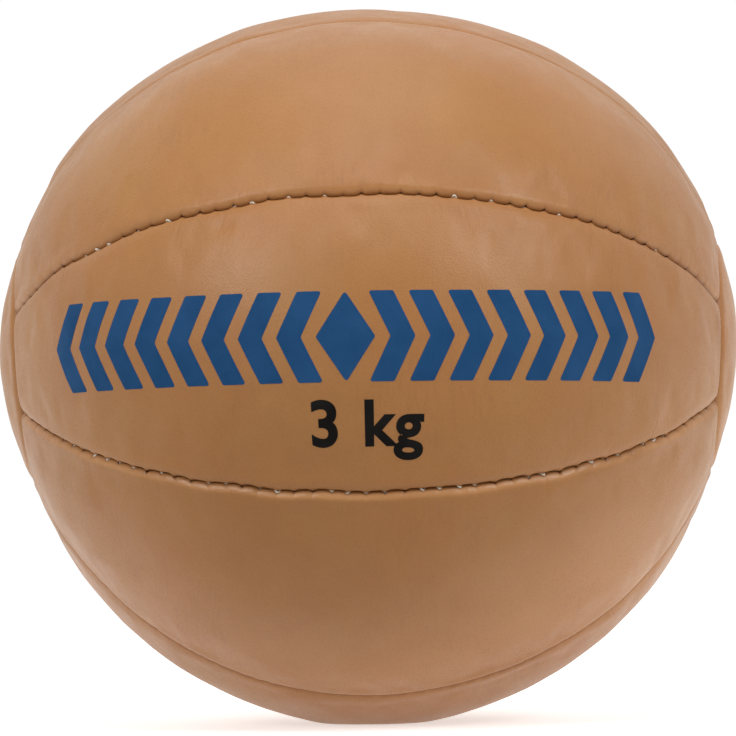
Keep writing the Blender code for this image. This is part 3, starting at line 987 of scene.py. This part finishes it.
def noise(nt, where, scale, detail=2.0, rough=0.5, distortion=0.0):
    node = nt.nodes.new("ShaderNodeTexNoise")
    node.inputs["Scale"].default_value = scale
    node.inputs["Detail"].default_value = detail
    node.inputs["Roughness"].default_value = rough
    node.inputs["Distortion"].default_value = distortion
    nt.links.new(where, node.inputs["Vector"])
    return node.outputs["Fac"]


def voronoi(nt, where, scale, feature="F1", smoothness=None, randomness=1.0):
    node = nt.nodes.new("ShaderNodeTexVoronoi")
    node.feature = feature
    node.inputs["Scale"].default_value = scale
    node.inputs["Randomness"].default_value = randomness
    if smoothness is not None:
        node.inputs["Smoothness"].default_value = smoothness
    nt.links.new(where, node.inputs["Vector"])
    return node.outputs["Distance"]


def leather_grain(nt, where):
    """Height of the grain: small pebbles, hair pores and fine wrinkles."""
    warp = add(nt, "ShaderNodeVectorMath", operation="ADD")
    small = nt.nodes.new("ShaderNodeTexNoise")
    small.inputs["Scale"].default_value = 260.0
    small.inputs["Detail"].default_value = 2.0
    nt.links.new(where, small.inputs["Vector"])
    scaled = add(nt, "ShaderNodeVectorMath", operation="SCALE")
    scaled.inputs["Scale"].default_value = 0.0009
    nt.links.new(small.outputs["Color"], scaled.inputs[0])
    nt.links.new(where, warp.inputs[0])
    nt.links.new(scaled.outputs[0], warp.inputs[1])
    pebble = voronoi(nt, warp.outputs[0], 1500.0, "SMOOTH_F1", 0.35)
    pebble_height = ramp(nt, pebble, 0.0, 0.75, 1.0, 0.0)
    fold = noise(nt, warp.outputs[0], 300.0, 4.0, 0.62)
    wide = noise(nt, where, 85.0, 3.0, 0.55)
    # creases drawn across the panels, from seam to seam
    drawn = add(nt, "ShaderNodeMapping")
    drawn.inputs["Scale"].default_value = (1.0, 0.16, 0.16)
    nt.links.new(warp.outputs[0], drawn.inputs["Vector"])
    streak = noise(nt, drawn.outputs["Vector"], 260.0, 3.0, 0.5, 0.3)
    line = ramp(nt, math_node(nt, "ABSOLUTE", math_node(nt, "SUBTRACT", streak, 0.5)), 0.0, 0.05, 1.0, 0.0)
    here = ramp(nt, noise(nt, where, 24.0, 2.0), 0.50, 0.66)
    line = math_node(nt, "MULTIPLY", line, here)
    h = math_node(nt, "MULTIPLY", pebble_height, 0.42)
    h = math_node(nt, "ADD", h, math_node(nt, "MULTIPLY", fold, 0.30))
    h = math_node(nt, "ADD", h, math_node(nt, "MULTIPLY", wide, 0.75))
    h = math_node(nt, "SUBTRACT", h, math_node(nt, "MULTIPLY", line, 0.30))
    return h, pebble_height, fold, wide, line


def leather_material():
    mat, nt, shader = node_material("tan_leather")
    coord = nt.nodes.new("ShaderNodeTexCoord").outputs["Object"]
    h, pebble, fold, wide, line = leather_grain(nt, coord)
    edge = add(nt, "ShaderNodeAttribute", attribute_name="edge").outputs["Fac"]
    pinch = add(nt, "ShaderNodeAttribute", attribute_name="pinch").outputs["Fac"]
    tone = add(nt, "ShaderNodeAttribute", attribute_name="tone").outputs["Fac"]

    broad = noise(nt, coord, 9.0, 3.0, 0.55)
    hue = noise(nt, coord, 21.0, 3.0, 0.55, 0.5)
    cloud = noise(nt, coord, 55.0, 3.0, 0.55, 0.4)
    base = mix_colour(nt, ramp(nt, broad, 0.32, 0.68), (0.357, 0.145, 0.0346), (0.399, 0.172, 0.0442))
    # redder and yellower patches of the hide
    base = mix_colour(nt, ramp(nt, hue, 0.54, 0.74, 0.0, 0.50), base, (0.387, 0.142, 0.0336))
    base = mix_colour(nt, ramp(nt, hue, 0.48, 0.28, 0.0, 0.60), base, (0.393, 0.184, 0.0499))
    base = mix_colour(nt, ramp(nt, cloud, 0.40, 0.75, 0.0, 0.30), base, (0.429, 0.189, 0.0518))
    # colour sits in the grain's valleys
    base = mix_colour(nt, ramp(nt, pebble, 0.35, 0.0, 0.0, 0.16), base, (0.262, 0.096, 0.027))
    base = mix_colour(nt, ramp(nt, fold, 0.42, 0.28, 0.0, 0.14), base, (0.310, 0.122, 0.037))
    base = mix_colour(nt, math_node(nt, "MULTIPLY", line, 0.16), base, (0.230, 0.085, 0.026))
    # small scars and pores
    pore = voronoi(nt, coord, 165.0)
    dots = ramp(nt, pore, 0.060, 0.030, 0.0, 0.40)
    keep = ramp(nt, noise(nt, coord, 30.0, 1.0), 0.58, 0.64)
    base = mix_colour(nt, math_node(nt, "MULTIPLY", dots, keep), base, (0.140, 0.055, 0.022))
    # painted shade: darker down in the seams and in the stitch dents, where shade falls
    base = mix_colour(nt, ramp(nt, edge, 0.070, 0.0, 0.0, 0.60), base, (0.255, 0.094, 0.030))
    base = mix_colour(nt, ramp(nt, pinch, 0.15, 0.8, 0.0, 0.30), base, (0.210, 0.080, 0.028))
    # painted shade: darker towards the bottom of the ball, near the floor
    height = add(nt, "ShaderNodeSeparateXYZ")
    nt.links.new(coord, height.inputs[0])
    base = mix_colour(nt, ramp(nt, height.outputs["Z"], 0.056, 0.022, 0.0, 0.17), base, (0.085, 0.038, 0.013))
    # painted highlight: paler along the rolled lips, where light catches them
    lip = add(nt, "ShaderNodeAttribute", attribute_name="lip").outputs["Fac"]
    base = mix_colour(nt, math_node(nt, "MULTIPLY", lip, ramp(nt, cloud, 0.30, 0.62, 0.30, 0.75)), base,
                      (0.545, 0.262, 0.098))
    toned = add(nt, "ShaderNodeHueSaturation")
    nt.links.new(base, toned.inputs["Color"])
    nt.links.new(tone, toned.inputs["Value"])
    nt.links.new(toned.outputs["Color"], shader.inputs["Base Color"])

    rough = ramp(nt, cloud, 0.25, 0.75, 0.46, 0.37)
    rough = math_node(nt, "ADD", rough, ramp(nt, pebble, 0.0, 0.7, 0.07, -0.02))
    rough = math_node(nt, "SUBTRACT", rough, math_node(nt, "MULTIPLY", lip, 0.06))
    nt.links.new(rough, shader.inputs["Roughness"])
    shader.inputs["Specular IOR Level"].default_value = 0.56
    shader.inputs["Sheen Weight"].default_value = 0.04
    shader.inputs["Sheen Roughness"].default_value = 0.45
    shader.inputs["Sheen Tint"].default_value = (1.0, 0.86, 0.74, 1.0)
    bump = add(nt, "ShaderNodeBump")
    bump.inputs["Strength"].default_value = 0.55
    bump.inputs["Distance"].default_value = 0.00020
    nt.links.new(h, bump.inputs["Height"])
    nt.links.new(bump.outputs["Normal"], shader.inputs["Normal"])
    return mat


def thread_material(name, light, dark):
    mat, nt, shader = node_material(name)
    coord = nt.nodes.new("ShaderNodeTexCoord").outputs["Object"]
    ply = add(nt, "ShaderNodeTexWave")
    ply.inputs["Scale"].default_value = 900.0
    ply.inputs["Distortion"].default_value = 6.0
    ply.inputs["Detail"].default_value = 2.0
    nt.links.new(coord, ply.inputs["Vector"])
    wax = noise(nt, coord, 500.0, 3.0)
    colour = mix_colour(nt, ramp(nt, ply.outputs["Fac"], 0.2, 0.8), dark, light)
    colour = mix_colour(nt, ramp(nt, wax, 0.5, 0.75, 0.0, 0.5), colour, tuple(0.75 * c for c in dark))
    nt.links.new(colour, shader.inputs["Base Color"])
    nt.links.new(ramp(nt, wax, 0.3, 0.7, 0.5, 0.75), shader.inputs["Roughness"])
    bump = add(nt, "ShaderNodeBump")
    bump.inputs["Strength"].default_value = 0.6
    bump.inputs["Distance"].default_value = 0.00008
    nt.links.new(ply.outputs["Fac"], bump.inputs["Height"])
    nt.links.new(bump.outputs["Normal"], shader.inputs["Normal"])
    return mat


def lining_material():
    """Plain woven cotton: two crossed sets of yarns."""
    mat, nt, shader = node_material("woven_lining")
    coord = nt.nodes.new("ShaderNodeTexCoord").outputs["Object"]
    split = add(nt, "ShaderNodeSeparateXYZ")
    nt.links.new(coord, split.inputs[0])
    warp = math_node(nt, "SINE", math_node(nt, "MULTIPLY", split.outputs["X"], 5200.0))
    weft = math_node(nt, "SINE", math_node(nt, "MULTIPLY", math_node(
        nt, "ADD", split.outputs["Y"], split.outputs["Z"]), 5200.0))
    weave = math_node(nt, "MULTIPLY", warp, weft)
    slub = noise(nt, coord, 160.0, 3.0)
    colour = mix_colour(nt, ramp(nt, weave, -1.0, 1.0), (0.44, 0.38, 0.28), (0.66, 0.59, 0.46))
    colour = mix_colour(nt, ramp(nt, slub, 0.5, 0.7, 0.0, 0.4), colour, (0.52, 0.42, 0.28))
    nt.links.new(colour, shader.inputs["Base Color"])
    nt.links.new(ramp(nt, slub, 0.2, 0.8, 0.82, 0.95), shader.inputs["Roughness"])
    bump = add(nt, "ShaderNodeBump")
    bump.inputs["Strength"].default_value = 0.7
    bump.inputs["Distance"].default_value = 0.0002
    nt.links.new(weave, bump.inputs["Height"])
    nt.links.new(bump.outputs["Normal"], shader.inputs["Normal"])
    return mat


def stuffing_material():
    """Packed textile cuttings and hair: matted fibres in mixed greys."""
    mat, nt, shader = node_material("packed_filling")
    coord = nt.nodes.new("ShaderNodeTexCoord").outputs["Object"]
    tuft = voronoi(nt, coord, 120.0)
    fibre = noise(nt, coord, 420.0, 5.0, 0.7, 2.5)
    patch = noise(nt, coord, 38.0, 3.0)
    colour = mix_colour(nt, ramp(nt, fibre, 0.35, 0.65), (0.16, 0.13, 0.105), (0.46, 0.40, 0.33))
    colour = mix_colour(nt, ramp(nt, patch, 0.45, 0.6, 0.0, 0.6), colour, (0.25, 0.27, 0.31))
    nt.links.new(colour, shader.inputs["Base Color"])
    nt.links.new(ramp(nt, fibre, 0.3, 0.7, 0.97, 0.85), shader.inputs["Roughness"])
    bump = add(nt, "ShaderNodeBump")
    bump.inputs["Strength"].default_value = 0.9
    bump.inputs["Distance"].default_value = 0.0008
    nt.links.new(math_node(nt, "ADD", fibre, tuft), bump.inputs["Height"])
    nt.links.new(bump.outputs["Normal"], shader.inputs["Normal"])
    return mat


# ------------------------------------------------------------------- the build
LEATHER_MAT = leather_material()
THREAD_MAT = thread_material("waxed_thread", (0.86, 0.82, 0.72), (0.60, 0.55, 0.45))
CLOSING_MAT = thread_material("closing_thread_wax", (0.62, 0.53, 0.37), (0.34, 0.27, 0.18))
LINING_MAT = lining_material()
STUFFING_MAT = stuffing_material()

simulate_panels()

tones = np.random.default_rng(5).uniform(0.965, 1.035, 10)
tones[6] *= 0.945      # painted shade: the bottom gore is made darker
# painted light: both end caps are made lighter
tones[8:] *= 1.05
front_outer = None
for k, place in enumerate(GORE_NAMES):
    gore, outer, _ = build_gore(k, LEATHER_MAT, tones[k])
    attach(gore, "root")
    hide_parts("leather_gore_" + place)
    if k == 0:
        front_outer = outer
for i, side in enumerate((-1, 1)):
    cap = build_cap(side, LEATHER_MAT, tones[8 + i])
    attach(cap, "root")
    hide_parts("leather_cap_" + ("left" if side < 0 else "right"))

# ------------------------------------------------------------------- the print
def cut_to_grid(bm, step, reach_x, reach_y):
    """Cut a flat shape along a grid, so that it can follow the ball."""
    for axis, reach in ((0, reach_x), (1, reach_y)):
        n = int(math.ceil(reach / step))
        for i in range(-n, n + 1):
            co = Vector((0.0, 0.0, 0.0))
            co[axis] = i * step
            no = Vector((0.0, 0.0, 0.0))
            no[axis] = 1.0
            bmesh.ops.bisect_plane(bm, geom=bm.verts[:] + bm.edges[:] + bm.faces[:],
                                   dist=1e-7, plane_co=co, plane_no=no)


def round_corners(points, radius, steps=5):
    """The outline with its corners rounded."""
    out = []
    n = len(points)
    for i in range(n):
        a, b, c = (Vector(points[j % n]) for j in (i - 1, i, i + 1))
        u, v = (a - b).normalized(), (c - b).normalized()
        half = 0.5 * u.angle(v)
        back = min(radius / math.tan(half), 0.45 * (a - b).length, 0.45 * (c - b).length)
        p, q = b + u * back, b + v * back
        for k in range(steps + 1):
            s = k / steps
            out.append(tuple((1 - s) ** 2 * p + 2 * s * (1 - s) * b + s * s * q))
    return out


def outline_faces(bm, outlines):
    for outline in outlines:
        verts = [bm.verts.new((x, y, 0.0)) for x, y in outline]
        face = bm.faces.new(verts)
        if face.normal.z < 0:
            face.normal_flip()


def print_on_ball(name, bm, tree, mat):
    """Lay a flat shape (metres) on the front panel as a thin closed film."""
    bmesh.ops.triangulate(bm, faces=bm.faces[:])
    bmesh.ops.remove_doubles(bm, verts=bm.verts[:], dist=2e-6)
    bm.verts.index_update()
    flat = [v.co.copy() for v in bm.verts]
    faces = [[v.index for v in f.verts] for f in bm.faces]
    border = [(l.vert.index, l.link_loop_next.vert.index) for f in bm.faces for l in f.loops
              if l.edge.is_boundary]
    centre = Vector((0.0, 0.0, CENTRE_Z))
    top, low = [], []
    for co in flat:
        a, e = co.x / BALL_RADIUS, co.y / BALL_RADIUS
        n = Vector((math.sin(a) * math.cos(e), -math.cos(a) * math.cos(e), math.sin(e)))
        hit, _, _, _ = tree.ray_cast(centre + n * (BALL_RADIUS + 0.02), -n)
        top.append(hit + n * 0.09 * MM)
        low.append(hit - n * 0.20 * MM)
    count = len(flat)
    verts = top + low
    all_faces = faces + [[i + count for i in f[::-1]] for f in faces]
    all_faces += [[a + 0, a + count, b + count, b + 0] for a, b in border]
    obj = new_object(name, [tuple(v) for v in verts], all_faces, None, [mat])
    obj.data.set_sharp_from_angle(angle=math.radians(40))
    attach(obj, "root")
    return obj


def ink_material(name, colour, worn):
    """Printing ink on leather: it lies in the grain, and is rubbed thin on it."""
    mat, nt, shader = node_material(name)
    coord = nt.nodes.new("ShaderNodeTexCoord").outputs["Object"]
    height, pebble, fold, wide, line = leather_grain(nt, coord)
    cloud = noise(nt, coord, 60.0, 4.0, 0.6)
    tint = mix_colour(nt, ramp(nt, cloud, 0.35, 0.7), colour, tuple(1.22 * c + 0.004 for c in colour))
    rub = math_node(nt, "MULTIPLY", ramp(nt, fold, 0.62, 0.80), ramp(nt, cloud, 0.50, 0.66, 0.0, 0.7))
    shader.inputs["Specular IOR Level"].default_value = 0.07
    tint = mix_colour(nt, rub, tint, worn)
    nt.links.new(tint, shader.inputs["Base Color"])
    nt.links.new(ramp(nt, cloud, 0.3, 0.7, 0.66, 0.54), shader.inputs["Roughness"])
    bump = add(nt, "ShaderNodeBump")
    bump.inputs["Strength"].default_value = 0.4
    bump.inputs["Distance"].default_value = 0.0002
    nt.links.new(height, bump.inputs["Height"])
    nt.links.new(bump.outputs["Normal"], shader.inputs["Normal"])
    return mat


def weight_mark():
    """The weight as bold plain numerals: 3 kg."""
    data = bpy.data.curves.new("mark", "FONT")
    data.body = "3 kg"
    data.size = 23.4 * MM
    data.space_character = 1.06
    data.offset = 0.62 * MM
    data.resolution_u = 8
    data.align_x = "CENTER"
    data.fill_mode = "FRONT"
    obj = bpy.data.objects.new("mark", data)
    bpy.context.scene.collection.objects.link(obj)
    bpy.context.view_layer.update()
    mesh = bpy.data.meshes.new_from_object(obj.evaluated_get(bpy.context.evaluated_depsgraph_get()))
    bm = bmesh.new()
    bm.from_mesh(mesh)
    bpy.data.objects.remove(obj)
    bpy.data.curves.remove(data)
    bpy.data.meshes.remove(mesh)
    xs = [v.co.x for v in bm.verts]
    ys = [v.co.y for v in bm.verts]
    print("weight mark", round(min(xs) * 1000, 1), round(max(xs) * 1000, 1),
          round(min(ys) * 1000, 1), round(max(ys) * 1000, 1))
    return bm


front = bpy.data.objects["gore_front"]
tree = BVHTree.FromPolygons([v.co for v in front.data.vertices],
                            [tuple(f.vertices) for f in front.data.polygons])
blue = ink_material("blue_ink", (0.0115, 0.060, 0.158), (0.045, 0.090, 0.165))
black = ink_material("black_ink", (0.0070, 0.0062, 0.0055), (0.035, 0.024, 0.018))

# a plain band of chevrons pointing away from a lozenge in the middle
bm = bmesh.new()
H, THICK, POINT, PITCH_X = 16.0 * MM, 8.8 * MM, 7.6 * MM, 14.1 * MM
shapes = [round_corners([(-10.5 * MM, 0), (0, -H), (10.5 * MM, 0), (0, H)], 1.0 * MM)]
for side in (1, -1):
    for i in range(8):
        x = 8.2 * MM + i * PITCH_X
        if side * (x + THICK + POINT) > 134 * MM:
            continue
        pts = [(x, H), (x + POINT, 0), (x, -H), (x + THICK, -H), (x + THICK + POINT, 0), (x + THICK, H)]
        pts = round_corners(pts, 0.9 * MM)
        shapes.append([(side * px, py) for px, py in pts][::side])
outline_faces(bm, [[(x - 6.5 * MM, y + 2.3 * MM) for x, y in s] for s in shapes])
bmesh.ops.triangulate(bm, faces=bm.faces[:])
cut_to_grid(bm, 1.6 * MM, 146 * MM, 22 * MM)
print_on_ball("band_print", bm, tree, blue)
bm.free()

bm = weight_mark()
for v in bm.verts:
    v.co.y -= 36.6 * MM
bmesh.ops.triangulate(bm, faces=bm.faces[:])
cut_to_grid(bm, 1.6 * MM, 30 * MM, 50 * MM)
print_on_ball("weight_print", bm, tree, black)
bm.free()

END = 0.5 * LONG - 1.7 * MM
for q, place in enumerate(SEAM_NAMES):
    rng = np.random.default_rng(300 + q)
    seam = GORE_SEAMS[q]
    if q != CLOSING_SEAM:
        rows = stitch_path(seam, -END, END, rng)
        line = smooth_line(gore_seam_points(q, rows), False, 0.45 * MM)
        piece = tube("stitches_" + place, line, THREAD, 8, THREAD_MAT, twist=900.0)
        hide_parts("seam_thread_" + place)
    else:
        piece = None
    pieces = [(piece, "seam_thread")] if piece else []
    if q == CLOSING_SEAM:
        split = math.radians(27.7) * (BALL_RADIUS - 3.5 * MM)
        inner = math.radians(27.0) * (BALL_RADIUS - 3.5 * MM)
        for name, low, high, node, mat, slot in (
                ("right", -END, -split, "seam_thread_rear_low_right", THREAD_MAT, "seam_thread"),
                ("left", split, END, "seam_thread_rear_low_left", THREAD_MAT, "seam_thread"),
                ("closing", -inner, inner, "closing_thread", CLOSING_MAT, "closing_thread")):
            rows = stitch_path(seam, low, high, rng)
            line = smooth_line(gore_seam_points(q, rows), False, 0.45 * MM)
            label = "closing_stitches" if name == "closing" else "stitches_rear_low_" + name
            piece = tube(label, line, THREAD, 8, mat, twist=900.0)
            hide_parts(node)
            pieces.append((piece, slot))
    for piece, slot in pieces:
        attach(piece, "root")
for side in (-1, 1):
    rng = np.random.default_rng(330 + side)
    seam = CAP_SEAMS[side]
    rows = stitch_path(seam, -0.5 * ROUND, 0.5 * ROUND, rng)
    line = smooth_line(cap_seam_points(side, rows), True, 0.45 * MM)
    label = "left" if side < 0 else "right"
    piece = tube("stitches_cap_" + label, line, THREAD, 8, THREAD_MAT, closed=True, twist=900.0)
    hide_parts("cap_thread_" + label)
    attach(piece, "root")

for name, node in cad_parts.items():
    mat = None
    if name.startswith("lining_"):
        mat = LINING_MAT
    elif name == "stuffing_core":
        mat = STUFFING_MAT
    if mat:
        node.data.materials.clear()
        node.data.materials.append(mat)

# ----------------------------------------------------------- stage and camera
def smooth_step(nt, source, low, high, a=0.0, b=1.0):
    node = nt.nodes.new("ShaderNodeMapRange")
    node.interpolation_type = "SMOOTHSTEP"
    for key, value in (("From Min", low), ("From Max", high), ("To Min", a), ("To Max", b)):
        node.inputs[key].default_value = value
    nt.links.new(source, node.inputs["Value"])
    return node.outputs["Result"]


def table_material():
    """A white light table: it glows a little, less so in front of the ball, and in front of the ball its colour
    is a painted shade of dark grey.
    """
    mat, nt, shader = node_material("light_table")
    coord = nt.nodes.new("ShaderNodeTexCoord").outputs["Object"]
    split = add(nt, "ShaderNodeSeparateXYZ")
    nt.links.new(coord, split.inputs[0])
    reach = add(nt, "ShaderNodeVectorMath", operation="LENGTH")
    nt.links.new(coord, reach.inputs[0])
    front = math_node(nt, "ADD", split.outputs["Y"], math_node(nt, "MULTIPLY", split.outputs["X"], 0.10))
    # a round pool of light, its front edge just in front of the ball
    place = add(nt, "ShaderNodeVectorMath", operation="SUBTRACT")
    nt.links.new(coord, place.inputs[0])
    place.inputs[1].default_value = (0.243, 0.885, 0.0)
    middle = add(nt, "ShaderNodeVectorMath", operation="LENGTH")
    nt.links.new(place.outputs[0], middle.inputs[0])
    pool = math_node(nt, "MULTIPLY", smooth_step(nt, middle.outputs["Value"], 1.034, 1.011, 0.0, 0.56),
                     smooth_step(nt, reach.outputs["Value"], 0.36, 0.21))
    near = math_node(nt, "MAXIMUM", smooth_step(nt, split.outputs["Y"], 0.03, 0.18, 0.0, 0.64), pool)
    far = smooth_step(nt, reach.outputs["Value"], 0.35, 1.00)
    glow = math_node(nt, "ADD", math_node(nt, "MULTIPLY", near, math_node(nt, "SUBTRACT", 1.0, far)),
                     math_node(nt, "MULTIPLY", far, smooth_step(nt, split.outputs["Y"], -0.45, 0.10, 0.20, 0.66)))
    nt.links.new(glow, shader.inputs["Emission Strength"])
    shader.inputs["Emission Color"].default_value = (1.0, 1.0, 1.0, 1.0)
    tint = noise(nt, coord, 3.0, 2.0)
    pale = mix_colour(nt, ramp(nt, tint, 0.3, 0.7), (0.86, 0.86, 0.855), (0.84, 0.84, 0.835))
    # painted shade: the table is dark grey in front of the ball
    pale = mix_colour(nt, smooth_step(nt, front, -0.108, -0.26), pale, (0.36, 0.355, 0.35))
    nt.links.new(pale, shader.inputs["Base Color"])
    shader.inputs["Roughness"].default_value = 0.9
    shader.inputs["Specular IOR Level"].default_value = 0.1
    return mat


h = 30.0
floor = new_object("floor", [(-h, -h, 0), (h, -h, 0), (h, h, 0), (-h, h, 0)], [(0, 1, 2, 3)],
                   None, [table_material()])
floor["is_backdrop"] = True

# the room: white round the horizon and behind, darker in front above it
world = bpy.data.worlds.new("studio")
bpy.context.scene.world = world
world.use_nodes = True
wt = world.node_tree
background = wt.nodes["Background"]
background.inputs["Color"].default_value = (1.0, 1.0, 1.0, 1.0)
wc = wt.nodes.new("ShaderNodeTexCoord")
ws = wt.nodes.new("ShaderNodeSeparateXYZ")
wt.links.new(wc.outputs["Generated"], ws.inputs[0])
above = smooth_step(wt, ws.outputs["Z"], 0.16, 0.26)
behind = smooth_step(wt, ws.outputs["Y"], -0.15, 0.25)
band = smooth_step(wt, ws.outputs["Y"], -0.75, -0.15, 0.40, 1.02)
high_up = smooth_step(wt, ws.outputs["Z"], 0.40, 0.60, 0.7, 1.0)
zenith = smooth_step(wt, ws.outputs["Z"], 0.70, 0.90, 1.0, 0.1)
room = math_node(wt, "ADD", 0.14, math_node(wt, "MULTIPLY", behind, math_node(wt, "MULTIPLY", high_up, zenith)))
strength = math_node(wt, "ADD", math_node(wt, "MULTIPLY", above, room),
                     math_node(wt, "MULTIPLY", math_node(wt, "SUBTRACT", 1.0, above), band))
wt.links.new(strength, background.inputs["Strength"])

TARGET = Vector((0.0, 0.0, CENTRE_Z))


def area(name, azimuth, elevation, distance, size, power, colour=(1.0, 1.0, 1.0)):
    data = bpy.data.lights.new(name, "AREA")
    data.shape = "DISK"
    data.size = size
    data.energy = power
    data.color = colour
    obj = bpy.data.objects.new(name, data)
    a, e = math.radians(azimuth), math.radians(elevation)
    place = Vector((math.sin(a) * math.cos(e), -math.cos(a) * math.cos(e), math.sin(e))) * distance
    obj.location = TARGET + place
    obj.rotation_euler = (-place).to_track_quat("-Z", "Y").to_euler()
    bpy.context.scene.collection.objects.link(obj)
    return obj


area("overhead", 0, 88, 1.6, 1.2, 5.8)
area("front_high", 0, 53, 1.6, 0.8, 6.0)
area("left_high", -45, 45, 1.6, 0.5, 2.0)
area("left_box", -38, 24, 1.6, 0.50, 6.5)
area("right_box", 46, 31, 1.6, 0.68, 8.1)
area("rear_high", 180, 60, 1.6, 0.8, 0.5)

scene = bpy.context.scene
scene.view_settings.view_transform = "Standard"

DISTANCE = 10.0 * BALL_RADIUS
ELEVATION = math.radians(-2.9)
AZIMUTH = math.radians(0.84)
HALF_VIEW = math.radians(5.83)
camera_data = bpy.data.cameras.new("camera")
camera_data.sensor_width = 36.0
camera_data.lens = 18.0 / math.tan(HALF_VIEW)
camera = bpy.data.objects.new("camera", camera_data)
back = Vector((math.sin(AZIMUTH) * math.cos(ELEVATION), -math.cos(AZIMUTH) * math.cos(ELEVATION),
               math.sin(ELEVATION)))
camera.location = TARGET + back * DISTANCE
right = Vector((math.cos(AZIMUTH), math.sin(AZIMUTH), 0.0))
up = back.cross(right)
AIM = TARGET - right * (2.4 * 0.000386) - up * (5.3 * 0.000386)
look = (AIM - camera.location).to_track_quat("-Z", "Y").to_matrix().to_4x4()
camera.matrix_world = (Matrix.Translation(camera.location) @ look
                       @ Matrix.Rotation(math.radians(-0.97), 4, "Z"))
scene.collection.objects.link(camera)
scene.camera = camera

low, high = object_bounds()
